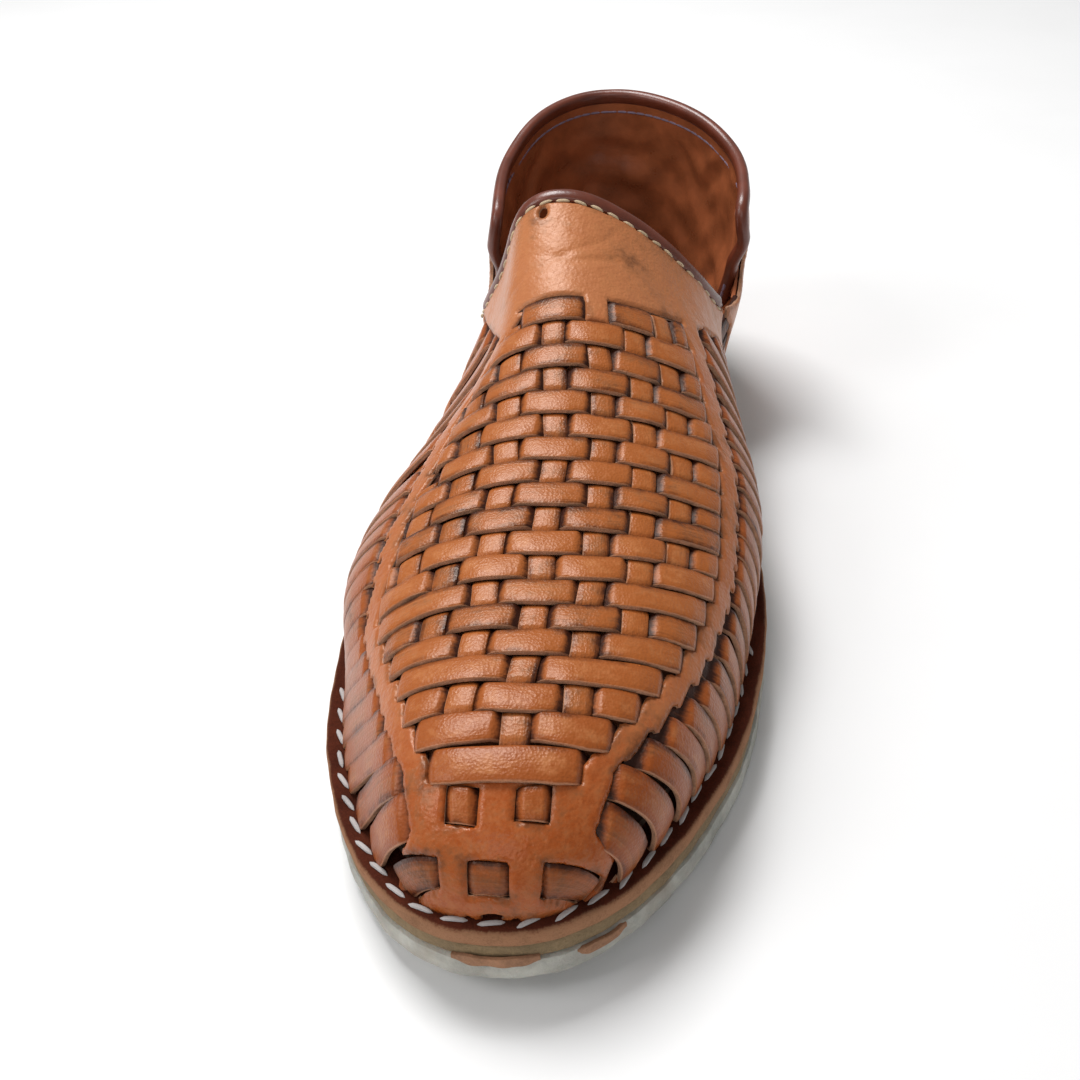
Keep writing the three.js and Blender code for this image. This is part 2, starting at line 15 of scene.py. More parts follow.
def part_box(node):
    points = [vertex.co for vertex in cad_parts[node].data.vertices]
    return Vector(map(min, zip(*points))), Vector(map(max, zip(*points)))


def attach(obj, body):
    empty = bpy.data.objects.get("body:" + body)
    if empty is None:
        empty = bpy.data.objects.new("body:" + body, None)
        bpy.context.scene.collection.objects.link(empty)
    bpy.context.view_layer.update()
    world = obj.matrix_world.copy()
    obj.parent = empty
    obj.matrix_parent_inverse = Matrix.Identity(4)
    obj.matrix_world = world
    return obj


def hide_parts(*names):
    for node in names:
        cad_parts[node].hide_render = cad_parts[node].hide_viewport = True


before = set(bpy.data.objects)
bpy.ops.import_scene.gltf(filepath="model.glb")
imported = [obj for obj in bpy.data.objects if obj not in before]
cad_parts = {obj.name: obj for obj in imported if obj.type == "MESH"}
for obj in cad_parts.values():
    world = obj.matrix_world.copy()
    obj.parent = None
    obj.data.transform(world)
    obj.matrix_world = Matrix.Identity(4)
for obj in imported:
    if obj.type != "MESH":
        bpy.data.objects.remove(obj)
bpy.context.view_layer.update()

bl_info = {
    "name": "Woven leather huarache",
    "version": (1, 0, 0),
    "blender": (4, 5, 0),
    "location": "3D View > Sidebar > Huarache",
    "description": "Dresses the packed huarache: woven upper, bound collar and stitched sole",
    "category": "Add Mesh",
}

MM = 0.001
SIDES = (1, -1)
SEED = 7

# Outline of the sole: share of the length, half width, and how far its middle lies to +X
SOLE = {
    "at": (0.0, 0.12, 0.22, 0.33, 0.44, 0.54, 0.64, 0.75, 0.87, 1.0),
    "half": (36.0, 42.0, 49.0, 52.5, 50.5, 45.0, 40.0, 38.5, 38.5, 36.0),
    "middle": (-5, -3.8, -2.2, -0.8, 0.6, 2.5, 4.5, 6.5, 7.5, 7.5),
}
# Sections of the last from toe to heel, by share of the upper's length
LAST = {
    "at": (0.0, 0.1, 0.2, 0.3, 0.4, 0.5, 0.6, 0.67, 0.74, 0.8, 0.9, 1.0),
    "height": (25, 29, 34, 40, 48, 59, 72, 81.5, 89.5, 95, 100, 100),
    "belly": (2, 1.8, -0.4, 1.4, 6.2, 7.8, 7.5, 4.6, 2, 2.5, 2.5, 2.5),
    "crown": (0.83, 0.83, 0.87, 0.93, 0.98, 1.0, 0.96, 0.93, 0.88, 0.8, 0.69, 0.67),
    "side": (0.83, 0.83, 0.87, 0.93, 1.06, 1.28, 1.3, 1.18, 0.97, 0.8, 0.69, 0.67),
    "ridge": (0.5, 0.5, 0.5, 0.0, 0.5, 0.0, -5.0, -5.0, -2.0, 0.0, 0.0, 0.0),
    "welt": (3.5, 4.4, 4.9, 5, 4.7, 4.5, 4.5, 4.3, 4.1, 4, 3.5, 3.5),
    "flare": (0, 0, 0, 0, 0, 0, 1, 6, 26, 21, 11, 0),
    "tuck": (0, 5.6, 2.7, -1.7, -0.7, -1.8, -2.6, -1.3, 0, 0, 1.5, 0),
    "pinch": (0, 0, 0, 0, 7.2, 16.8, 17.5, 8.8, 0, 0, 0, 0),
}
LENGTH = 290.0
UPPER_TOE = 3.5
UPPER_HEEL = 286.5
UPPER_LENGTH = UPPER_HEEL - UPPER_TOE
TREAD_TOP = 5.9
OLIVE_TOP = 10.4
WELT_TOP = 15.0
FEATHER_RISE = 0.3
TOE_SPRING = 6.0
SPRING_LENGTH = 75.0
# Cut edges of the sole's layers: share of the height, and inset
TREAD_EDGE = ((0, 1.2), (0.06, 0.5), (0.2, 0.1), (0.5, 0), (0.8, 0.1), (0.95, 0.4), (1, 1.0))
OLIVE_EDGE = ((0, 0.5), (0.15, 0.1), (0.5, 0), (0.85, 0.15), (1, 0.6))
WELT_EDGE = (
    (0, 0.5), (0.12, 0.1), (0.4, 0), (0.75, 0.1), (0.92, 0.45), (1, 1.2), (1, 2.2), (1, 3.4), (1, 9),
)
# Hollow under the tread: its height, where it starts and its length, as shares of the sole
WAIST = {"lift": 1.5, "start": 0.47, "span": 0.24}
PLAN_POWER = 2.2
TOE_ROUND = 0.2
HEEL_ROUND = 0.21
SOLE_HEEL_ROUND = 0.17
CROWN_ROUND = 0.14
BELLY_TOE_ROUND = 0.1
BELLY_HEEL_ROUND = 0.08
HEEL_START = 0.78
HEEL_BELLY = 1.5
HEEL_PULL = 6.0
COUNTER_HEIGHT = 70.0
# Makes the greatest value of up * up * (1 - up) one
PINCH_PEAK = 6.75
# Places on the last stay this far from its ends, where a section shrinks to a point
END_GAP = 0.04

# Side view of the collar: distance from the toe and height over the floor
THROAT_EDGE = ((179.5, 130), (179.5, 92), (181, 80), (185, 66), (192, 54))
OPENING_FLOOR = ((200, 47), (208, 44), (216, 45))
TOPLINE = ((222, 50), (219, 58), (214, 65), (216, 71), (228, 73.5), (250, 77), (272, 82), (300, 86))
# Heel binding: from behind the strap up the wing's front edge, then along the top line to the heel's back
HEEL_ROLL = (
    (228, 30), (223.5, 41), (219, 52), (215.8, 60), (214.3, 66), (217, 71), (228, 73.5), (250, 77),
    (272, 82), (300, 86),
)
# Openings in the counter: middle, half length, half height and tilt in degrees
SIDE_EYES = ((236, 46, 15, 2.2, 8), (232, 25, 15, 4.0, 0))

# Weave: a row's ends lie behind its place on the ridge by bow times a * a, so the rows bow towards the heel
# on the outer side and a little towards the toe on the inner one
BOW = {
    "at": (20, 45, 64, 84, 97, 111, 125, 139, 150, 175),
    "outer": (0.003, 0.0038, 0.0046, 0.004, 0.0031, 0.0035, 0.0037, 0.0055, 0.008, 0.008),
    "inner": (0.0, -0.001, -0.0015, -0.002, -0.003, -0.003, -0.003, -0.002, 0.0, 0.002),
}
BOW_REACH = 48.0
ROWS = 19
ROW_THROAT = 145.1
ROW_PITCH = 6.81
# Half width of the woven panel and its middle, by distance from the toe along the ridge
PANEL = {
    "at": (23, 30, 37, 44, 51, 57, 64, 71, 85, 92, 105, 112, 119, 126, 133, 140, 147),
    "half": (14.7, 20, 24.6, 28.3, 32.4, 35.4, 38.3, 39.8, 39, 38.5, 37, 36, 34.6, 32.8, 31.2, 28.8, 24.3),
    "middle": (1, 1.6, 2.2, 2.9, 3.1, 3.1, 2.8, 3.4, 5.5, 5.5, 6.5, 7, 6.5, 6.7, 7.3, 8.7, 11.7),
}
SAW_DEPTH = 2.2
PANEL_TOE = 19.9
PANEL_THROAT = 149.2
# Outer edge of the plain frame round the panel where it runs past the weave: toe cap and throat tab
FRAME_EDGE = {
    "at": (3, 10.5, 12.5, 15, 22, 110, 150),
    "beyond": (40, 24, 6, 4.5, 6.2, 6.5, 8.5),
}
# Lower edge of the throat tab on the outer and inner side: where it leaves the band, as distance from the
# toe and arc, and how fast it widens towards the collar's corner
TAB_EDGE = {1: (164.5, 44.5, 1.45), -1: (150.5, 23.5, 0.8)}
# Lengthwise strips: number, place across the panel, and the last row towards the toe that each crosses
STRIPS = (
    (-3, -29.0, 11), (-2, -19.0, 14), (-1, -9.2, 17), (0, 2.2, 18), (1, 13.4, 17), (2, 23.3, 14),
    (3, 32.5, 11),
)
STRIP_DRIFT = {"at": (97, 111, 125, 139, 150), "shift": (0, -1.3, -2.9, -5, -5.6)}
# Tongue of the tab between the first row's floats: its strip, half width and front end
TONGUE = {"strip": 1, "half": 3.1, "front": 142.1}
# Pieces of the last cross strips that show on the toe cap: heel edge and toe edge, each from the inner to the
# outer end, as distance from the toe and arc
TOE_WINDOWS = (
    (((18.6, -9.7), (17.8, -3.7)), ((12.9, -9.0), (12.0, -3.2))),
    (((18.0, 3.6), (19.3, 10.1)), ((13.1, 4.2), (13.4, 10.2))),
    (((7.6, -4.6), (7.4, 3.1)), ((4.5, -4.4), (4.3, 2.7))),
    (((13.6, -29.5), (8.7, -10.7)), ((8.6, -25.0), (5.9, -11.6))),
    (((8.2, 9.2), (11.2, 26.5)), ((5.2, 10.5), (8.6, 24.5))),
)
# Open gap beside the outermost of them, and the hole punched near the tab's peak: middle and half sizes
CAP_GAP = (13.2, 30.5, 1.5, 4.0)
TAB_HOLE = (174.9, -4.2, 1.7, 1.2)
# Soft creases of the tab: distance from the toe, arc, half length, half width, depth, and turn in degrees
# from the row's direction
TAB_CREASES = (
    (163.5, 4.5, 8, 1.0, 0.3, 30), (161.5, 9.5, 8, 0.9, 0.35, 20), (166, 10, 7, 0.9, 0.25, -25),
    (161, -1.5, 7, 1.2, 0.2, -15), (171, 14, 6, 1.0, 0.2, 50), (158, -10, 8, 1.2, 0.2, 12),
)

# Ring of a cut leather strip: across in half widths, up in half thicknesses
STRIP_RING = np.array((
    (-0.9, -1.0), (0.0, -1.0), (0.9, -1.0), (1.0, -0.6), (1.0, 0.55), (0.955, 0.84), (0.82, 1.02),
    (0.45, 1.16), (0.0, 1.22), (-0.45, 1.16), (-0.82, 1.02), (-0.955, 0.84), (-1.0, 0.55), (-1.0, -0.6),
))
RAW_EDGE_ACROSS = 0.99
STITCH_PITCH = 4.75
# Spacing of the grids that the plain leather and the counter are cut from, and the counter's front ends
FRAME_STEP = 0.65
COUNTER_STEP = 0.8
COUNTER_FRONT = 203
LINING_FRONT = 212
# Angles in degrees past which the edges of cut sheets and of rolled ones look sharp
SHEET_CREASE = 50
ROLL_CREASE = 60


def srgb(red, green, blue):
    """Linear colour of an 8-bit sRGB one: the standard curve on each channel."""
    c = np.array((red, green, blue)) / 255
    return tuple(np.where(c <= 0.04045, c / 12.92, ((c + 0.055) / 1.055) ** 2.4))


def length_size(name, description, default):
    """A length shown in Blender's units, given here in millimetres."""
    return bpy.props.FloatProperty(name=name, description=description, default=default * MM, unit="LENGTH",
                                   precision=4)


def finish_colour(name, description, *rgb):
    """A colour given by its 8-bit sRGB channels."""
    return bpy.props.FloatVectorProperty(name=name, description=description, default=srgb(*rgb), size=3,
                                         subtype="COLOR", min=0, max=1)


class WeaveSizes(bpy.types.PropertyGroup):
    """Sizes of the woven upper."""

    thickness: length_size("Strip thickness", "Thickness of the leather strips", 1.5)
    cross_width: length_size("Cross strip width", "Width of the strips across the vamp", 6.3)
    long_width: length_size("Long strip width", "Width of the strips along the vamp", 5.8)
    side_width: length_size("Side strip width", "Width of the strips down the sides", 6.5)
    float_height: length_size("Float height", "Height of a cross strip's middle where it floats on top", 0.55)
    tuck_depth: length_size("Tuck depth", "Depth of a cross strip's middle where it runs under", 1.55)


class TrimSizes(bpy.types.PropertyGroup):
    """Sizes of bindings, threads and sole layers."""

    throat_roll: length_size("Throat binding", "Width of the roll along the throat", 4.2)
    heel_roll: length_size("Heel binding", "Width of the roll along the heel's top line", 4.8)
    welt_stitch: length_size("Welt stitch", "Spacing of the stitches on the welt", 6.9)
    thread: length_size("Welt thread", "Thickness of the waxed welt thread", 1.1)
    edge_wander: length_size("Edge wander", "How far the hand-cut sole edge wanders", 0.35)


class Finishes(bpy.types.PropertyGroup):
    """Colours of the shoe's materials."""

    woven: finish_colour("Woven leather", "Burnished cognac strips", 166, 92, 42)
    # Pale tone: on the strips it is mottling and partly a painted highlight on their raised tops; on the plain
    # leather it makes pale patches in clouds
    pale: finish_colour("Worn leather", "Where handling has lightened the strips", 198, 130, 80)
    # Burnish colour, which also paints the shade on the strips' edges and heel sides and where they dip under
    shade: finish_colour("Burnish", "Dark burnish on strip edges", 48, 13, 3)
    # Redder brown of the toe, also mixed strongly into the side strips, where it paints the shade on the shoe's
    # sides as well
    red: finish_colour("Toe burnish", "Redder brown of the toe", 146, 69, 25)
    raw: finish_colour("Raw edge", "Cut edges of the strips", 204, 150, 116)
    tab: finish_colour("Tab leather", "Plain leather of tab, bands and counter", 180, 111, 69)
    binding: finish_colour("Binding", "Rolled edge leather", 106, 50, 32)
    lining: finish_colour("Lining", "Brown lining of the heel", 164, 92, 56)
    sock: finish_colour("Insole", "Grey-brown sock leather", 122, 98, 82)
    suede: finish_colour("Welt top", "Reddish suede of the welt", 80, 36, 22)
    welt: finish_colour("Welt edge", "Fuzzy tan edge of the welt", 186, 136, 102)
    olive: finish_colour("Olive layer", "Sheet between welt and tread", 150, 126, 92)
    crepe: finish_colour("Crepe", "Grey-white tread rubber", 198, 196, 186)
    thread: finish_colour("White thread", "Waxed welt thread", 184, 178, 176)
    cream: finish_colour("Cream thread", "Stitches of the throat", 206, 182, 148)
    violet: finish_colour("Lining thread", "Thread of the heel's top line", 140, 122, 142)


def curve(table, column, at):
    """Smooth curve through a table's column: a cubic between neighbouring rows whose slope at each row is
    that of the chord between the rows on both sides of it."""
    x = np.asarray(table["at"], float)
    v = np.asarray(table[column], float)
    row = np.arange(len(x))
    before, after = np.maximum(row - 1, 0), np.minimum(row + 1, len(x) - 1)
    slope = (v[after] - v[before]) / (x[after] - x[before])
    at = np.clip(at, x[0], x[-1])
    i = np.clip(np.searchsorted(x, at) - 1, 0, len(x) - 2)
    step = x[i + 1] - x[i]
    u = (at - x[i]) / step
    rise = u * u * (3 - 2 * u)
    bend = slope[i] * u * (1 - u) ** 2 - slope[i + 1] * u * u * (1 - u)
    return v[i] * (1 - rise) + v[i + 1] * rise + step * bend


def spline(points, count):
    """Catmull-Rom curve through side view points, as count points evenly spaced along it."""
    p = np.array(points, float)
    t = np.linspace(0, len(p) - 1, 40 * len(p))
    i = np.clip(t.astype(int), 0, len(p) - 2)
    f = (t - i)[:, None]
    a, b, c, d = (p[np.clip(i + k, 0, len(p) - 1)] for k in (-1, 0, 1, 2))
    line = b + 0.5 * f * (c - a + f * (2 * a - 5 * b + 4 * c - d + f * (3 * (b - c) + d - a)))
    return even(line, count)


def run_along(line):
    """Length run from a line's start to each of its points."""
    return np.concatenate([[0], np.cumsum(np.linalg.norm(np.diff(line, axis=0), axis=1))])


def even(line, count, carried=None):
    """The same line as count points evenly spaced along its length, or other values carried to them."""
    run = run_along(line)
    at = np.linspace(0, run[-1], count)
    values = line if carried is None else carried
    return np.stack([np.interp(at, run, column) for column in values.T], 1)


def eased(start, length, count):
    """Places from start over a length, closer together at both ends: half a cosine wave."""
    return start + length * (0.5 - 0.5 * np.cos(np.linspace(0, np.pi, count)))


def heelwards(start, gap, count):
    """Places from about start to the heel's back less a gap; the way left falls as a square."""
    return UPPER_HEEL - gap - np.linspace(np.sqrt(UPPER_HEEL - start), 0, count) ** 2


def smooth(x, low, high):
    """0 below low, 1 above high, and a smooth step between."""
    t = np.clip((x - low) / (high - low), 0, 1)
    return t * t * (3 - 2 * t)


def round_end(share, power=PLAN_POWER):
    """Quarter of a rounded end: 0 at the tip and 1 once the round is complete."""
    x = np.clip(share, 0, 1)
    return (1 - (1 - x) ** power) ** (1 / power)


def ripple(x, seed, *lengths):
    """Sum of sines with the given wave lengths and seeded phases, between -1 and 1."""
    phase = np.random.default_rng(seed).uniform(0, 2 * np.pi, len(lengths))
    return sum(np.sin(2 * np.pi * x / w + f) for w, f in zip(lengths, phase)) / len(lengths)


def toe_lift(s):
    """Rise of the toe: the square of the way left to the ball."""
    return TOE_SPRING * np.clip((SPRING_LENGTH - s) / SPRING_LENGTH, 0, None) ** 2


def sole_half(s):
    """Half width of the sole, rounded in at toe and heel."""
    share = s / LENGTH
    front = curve(SOLE, "half", share) * round_end(share / TOE_ROUND)
    return front * round_end((1 - share) / SOLE_HEEL_ROUND)


def sole_middle(s):
    """How far the sole's middle lies to +X."""
    return curve(SOLE, "middle", s / LENGTH)


def upper_share(s):
    """Share of the upper's length at distance s from the toe."""
    return (s - UPPER_TOE) / UPPER_LENGTH


def crown_height(share):
    """Height of the ridge over the feather, rounded in at the toe."""
    return curve(LAST, "height", share) * round_end(share / CROWN_ROUND)


def feather_half(s):
    """Half width of the upper where it meets the welt."""
    share = upper_share(s)
    ends = round_end(share / TOE_ROUND) * round_end((1 - share) / HEEL_ROUND)
    return (curve(SOLE, "half", s / LENGTH) - curve(LAST, "welt", share)) * ends


def sole_shift():
    """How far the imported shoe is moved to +X so that its box is centred."""
    s = np.linspace(0, LENGTH, 2000)
    middle, half = sole_middle(s), sole_half(s)
    low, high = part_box("outsole")
    return (low[0] + high[0]) / 2 / MM - ((middle + half).max() + (middle - half).min()) / 2


SHIFT = sole_shift()


def last_point(s, angle):
    """Point of the last. The section is an arch over the feather line, squared by its crown and side powers,
    bellied, flared on the outer side, and drawn in on the inner one at half height and nearer the ridge; the
    heel's back leans in at the top."""
    s, angle = np.broadcast_arrays(np.asarray(s, float), np.asarray(angle, float))
    share = upper_share(s)
    cos = np.cos(angle)
    across = np.sign(cos) * np.abs(cos) ** curve(LAST, "crown", share)
    up = np.abs(np.sin(angle)) ** curve(LAST, "side", share)
    ends = round_end(share / BELLY_TOE_ROUND, 2) * round_end((1 - share) / BELLY_HEEL_ROUND, 2)
    bulge = 4 * up * (1 - up)
    x = sole_middle(s) + (feather_half(s) + curve(LAST, "belly", share) * ends * bulge) * across
    x = x + curve(LAST, "flare", share) * up * np.maximum(across, 0) + curve(LAST, "ridge", share) * up * up
    drawn = curve(LAST, "tuck", share) * bulge + curve(LAST, "pinch", share) * PINCH_PEAK * up * up * (1 - up)
    x = x + drawn * np.maximum(-across, 0)
    rise = crown_height(share) * up
    lean = np.minimum(rise / COUNTER_HEIGHT, 1)
    back = smooth(share, HEEL_START, 1) * (HEEL_BELLY * np.sin(np.pi * lean) - HEEL_PULL * lean * lean)
    return np.stack([x + SHIFT, s - LENGTH / 2 + back, WELT_TOP + FEATHER_RISE + toe_lift(s) + rise], -1)


def unit(v):
    """Vectors of length one."""
    return v / np.maximum(np.linalg.norm(v, axis=-1, keepdims=True), 1e-9)


def last_normal(s, angle):
    """Outward normal: cross product of the steps along s and along the angle."""
    reach, turn = 0.4, 0.01
    s = np.clip(s, UPPER_TOE + 2 * reach, UPPER_HEEL - 2 * reach)
    angle = np.clip(angle, 2 * turn, np.pi - 2 * turn)
    along = last_point(s + reach, angle) - last_point(s - reach, angle)
    return unit(np.cross(along, last_point(s, angle + turn) - last_point(s, angle - turn)))


class ArcTable:
    """Arc lengths over the sections, every half millimetre of s, for finding the angle at an arc."""

    STEP = 0.5
    ANGLES = np.linspace(np.pi, 0, 241)
    # Added once more for each line, so that the keys of all lines rise in one run
    LINE_OFFSET = 1000.0

    def __init__(self):
        self.s = np.arange(UPPER_TOE + 0.02, UPPER_HEEL, self.STEP)
        points = last_point(self.s[:, None], self.ANGLES[None])
        arc = np.concatenate([np.zeros((len(self.s), 1)),
                              np.cumsum(np.linalg.norm(np.diff(points, axis=1), axis=2), axis=1)], 1)
        self.arc = arc - arc[:, [len(self.ANGLES) // 2]]
        self.keys = (self.arc + self.LINE_OFFSET * np.arange(len(self.s))[:, None]).ravel()

    def on_line(self, line, a):
        """Angle at arc a on whole lines of the table."""
        a = np.clip(a, self.arc[line, 0], self.arc[line, -1])
        key = a + self.LINE_OFFSET * line
        first, last = line * len(self.ANGLES), (line + 1) * len(self.ANGLES) - 2
        k = np.clip(np.searchsorted(self.keys, key) - 1, first, last)
        low, high = self.keys[k], self.keys[k + 1]
        part = (key - low) / np.maximum(high - low, 1e-9)
        turn = k - first + np.clip(part, 0, 1)
        return np.pi * (1 - turn / (len(self.ANGLES) - 1))

    def angle(self, s, a):
        """Angle at distance s and arc a, between the table's two nearest lines."""
        s, a = np.broadcast_arrays(np.asarray(s, float), np.asarray(a, float))
        place = np.clip((s - self.s[0]) / self.STEP, 0, len(self.s) - 1.001)
        line = place.astype(int)
        part = place - line
        return self.on_line(line, a) * (1 - part) + self.on_line(line + 1, a) * part

    def end(self, s, side):
        """Arc from the ridge down to the feather on one side."""
        return np.interp(s, self.s, np.abs(self.arc[:, -1 if side > 0 else 0]))


ARCS = ArcTable()


def bow(s0, a):
    """How far a row lies behind its place on the ridge at arc a."""
    k = np.where(a > 0, curve(BOW, "outer", s0), curve(BOW, "inner", s0))
    return k * np.minimum(np.abs(a), BOW_REACH) ** 2


def raised(s, angle, h):
    """Point at distance s and an angle, h above the last along its normal."""
    return last_point(s, angle) + last_normal(s, angle) * np.asarray(h)[..., None]


def on_last(s, a, h):
    """Point at distance s and arc a, h above the last."""
    s = np.clip(s, UPPER_TOE + END_GAP, UPPER_HEEL - END_GAP)
    return raised(s, ARCS.angle(s, a), h)


def on_weave(s0, a, h):
    """Point on the bowed rows of the weave."""
    return on_last(s0 + bow(s0, a), a, h)


def side_angle(s, z, side):
    """Angle of the last at height z on one side: the arch's height solved for its angle."""
    share = upper_share(s)
    rise = np.clip((z - WELT_TOP - FEATHER_RISE - toe_lift(s)) / crown_height(share), 0, 1)
    angle = np.arcsin(rise ** (1 / curve(LAST, "side", share)))
    return np.where(np.asarray(side) > 0, angle, np.pi - angle)


def on_side(s, z, side, h):
    """Point at distance s and height z on one side, h above the last."""
    s = np.clip(s, UPPER_TOE + END_GAP, UPPER_HEEL - END_GAP)
    return raised(s, side_angle(s, z, side), h)


class Shell:
    """A closed surface: points in millimetres, four-cornered faces, a finish number for each face and named
    values for each point. Its faces are turned so that its volume is positive."""

    def __init__(self, points, quads, kinds, values):
        self.points, self.quads, self.kinds, self.values = points, quads, kinds, values
        a, b, c, d = (points[quads[:, k]] for k in range(4))
        volume = np.einsum("ij,ij->", a, np.cross(b, c)) + np.einsum("ij,ij->", a, np.cross(c, d))
        if volume < 0:
            self.quads = quads[:, ::-1]


def ring_quads(n, m):
    """Faces between neighbours of n rings of m points."""
    i, j = np.meshgrid(np.arange(n - 1), np.arange(m), indexing="ij")
    k = (j + 1) % m
    return np.stack([i * m + j, (i + 1) * m + j, (i + 1) * m + k, i * m + k], -1).reshape(-1, 4)


def tube(ring_points, kinds=None, **values):
    """Rings of points carried along a path and capped at both ends: n rings of m points, m even."""
    n, m = ring_points.shape[:2]
    kinds = np.zeros(m, int) if kinds is None else kinds
    half = np.arange(m // 2 - 1)
    cap = np.stack([half, half + 1, m - 2 - half, m - 1 - half], -1)
    quads = np.concatenate([ring_quads(n, m), cap, cap[:, ::-1] + (n - 1) * m])
    face_kinds = np.concatenate([np.tile(kinds, n - 1), np.zeros(2 * len(cap), int)])
    flat = {name: np.broadcast_to(v, (n, m)).ravel() for name, v in values.items()}
    return Shell(ring_points.reshape(-1, 3), quads, face_kinds, flat)


def strip_kinds():
    """Finish of each face round a strip's ring: 1 on its cut toe side, 0 elsewhere."""
    following = np.roll(STRIP_RING, -1, axis=0)
    return ((STRIP_RING[:, 0] + following[:, 0]) / 2 < -RAW_EDGE_ACROSS).astype(int)


def strip(place, along, half_width, thickness, height, tone, red=0.0, tilt=0.0):
    """A leather strip: the ring scaled by half width and half thickness, carried along a path. place(along,
    across, h) gives points; height is the middle's height at each step along it, and tilt lifts the side at
    -1 across over the other one; tone and red tint it."""
    across = STRIP_RING[None, :, 0]
    u = across * np.broadcast_to(half_width, along.shape)[:, None]
    h = height[:, None] + STRIP_RING[None, :, 1] * thickness / 2
    h = h - np.broadcast_to(tilt, along.shape)[:, None] * across
    points = place(np.broadcast_to(along[:, None], u.shape), u, h)
    # How far the strip lies below its own top: the leather darkens its dips from this with burnish and painted
    # shade
    level = (height - height.max())[:, None]
    return tube(points, strip_kinds(), across=across, along=along[:, None], tone=tone, red=red, level=level)


def cut_sheet(u, v, margin, place, top, bottom, rounding, values=None):
    """A sheet cut from a grid of places (u, v): cells whose middle has a margin above zero stay, and points
    on the cut move along the margin's slope onto it. The top falls in a quarter round of the given radius to
    the cut edge, and a rim joins it to the bottom. top and bottom are heights or functions of the place."""
    f = margin(u, v)
    middle = (f[:-1, :-1] + f[1:, :-1] + f[1:, 1:] + f[:-1, 1:]) / 4
    keep = np.pad(middle > 0, 1)
    around = np.stack([keep[:-1, :-1], keep[1:, :-1], keep[1:, 1:], keep[:-1, 1:]])
    used = around.any(0)
    rim = used & ~around.all(0)
    fi, fj = np.gradient(f)
    pull = np.where(rim, -f / np.maximum(fi * fi + fj * fj, 1e-6), 0)
    di, dj = np.clip(pull * fi, -0.8, 0.8), np.clip(pull * fj, -0.8, 0.8)
    (ui, uj), (vi, vj) = np.gradient(u), np.gradient(v)
    u, v = u + ui * di + uj * dj, v + vi * di + vj * dj
    inside = np.where(rim, 0, np.clip(f, 0, rounding))
    fall = rounding - np.sqrt(np.maximum(rounding**2 - (rounding - inside) ** 2, 0))
    count = int(used.sum())
    index = np.full(f.shape, -1)
    index[used] = np.arange(count)
    uu, vv = u[used], v[used]
    high, low = (f(uu, vv) if callable(f) else np.full(count, f) for f in (top, bottom))
    points = np.concatenate([place(uu, vv, high - fall[used]), place(uu, vv, low)])
    a, b, c, d = index[:-1, :-1], index[1:, :-1], index[1:, 1:], index[:-1, 1:]
    cell = keep[1:-1, 1:-1]
    faces = np.stack([a, b, c, d], -1)[cell]
    edges = []
    for start, end, beyond in ((a, b, keep[1:-1, :-2]), (b, c, keep[2:, 1:-1]), (c, d, keep[1:-1, 2:]),
                               (d, a, keep[:-2, 1:-1])):
        on_rim = cell & ~beyond
        edges.append(np.stack([end[on_rim], start[on_rim], start[on_rim] + count, end[on_rim] + count], -1))
    edges = np.concatenate(edges)
    quads = np.concatenate([faces, faces[:, ::-1] + count, edges])
    kinds = np.concatenate([np.zeros(len(faces), int), np.full(len(faces), 2), np.ones(len(edges), int)])
    extra = {name: np.tile(fn(uu, vv), 2) for name, fn in (values or {}).items()}
    return Shell(points, quads, kinds, extra)


def add_piece(name, shells, materials, nodes=("upper",), crease=40):
    """Joins shells into one mesh in metres, rides it on the shoe's body and lets it stand for the nodes."""
    start = np.cumsum([0] + [len(shell.points) for shell in shells])
    points = np.concatenate([shell.points for shell in shells]) * MM
    quads = np.concatenate([shell.quads + at for shell, at in zip(shells, start)])
    kinds = np.concatenate([shell.kinds for shell in shells])
    mesh = bpy.data.meshes.new(name)
    mesh.vertices.add(len(points))
    mesh.vertices.foreach_set("co", points.ravel())
    mesh.loops.add(quads.size)
    mesh.loops.foreach_set("vertex_index", quads.ravel())
    mesh.polygons.add(len(quads))
    mesh.polygons.foreach_set("loop_start", np.arange(0, quads.size, 4))
    mesh.polygons.foreach_set("material_index", np.minimum(kinds, len(materials) - 1))
    for key in shells[0].values:
        layer = mesh.attributes.new(key, "FLOAT", "POINT")
        values = np.concatenate([shell.values[key] for shell in shells])
        layer.data.foreach_set("value", values.astype(np.float32))
    for material in materials:
        mesh.materials.append(material)
    mesh.update(calc_edges=True)
    mesh.validate()
    mesh.shade_smooth()
    mesh.set_sharp_from_angle(angle=np.radians(crease))
    piece = bpy.data.objects.new(name, mesh)
    bpy.context.scene.collection.objects.link(piece)
    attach(piece, "root")
    if nodes:
        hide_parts(*nodes)
    return piece


class Wire:
    """A shader value. Arithmetic on it adds Math nodes to its material."""

    def __init__(self, paint, socket):
        self.paint, self.socket = paint, socket

    def math(self, operation, *values):
        return self.paint.node("ShaderNodeMath", {"operation": operation}, dict(enumerate(values)))

    def __add__(self, other):
        return self.math("ADD", self, other)

    def __sub__(self, other):
        return self.math("SUBTRACT", self, other)

    def __rsub__(self, other):
        return self.math("SUBTRACT", other, self)

    def __mul__(self, other):
        return self.math("MULTIPLY", self, other)

    __radd__ = __add__
    __rmul__ = __mul__

    def __abs__(self):
        return self.math("ABSOLUTE", self)

    def step(self, low, high):
        """Smooth step from 0 at low to 1 at high."""
        inputs = {0: self, 1: low, 2: high, 3: 0.0, 4: 1.0}
        return self.paint.node("ShaderNodeMapRange", {"interpolation_type": "SMOOTHSTEP"}, inputs)


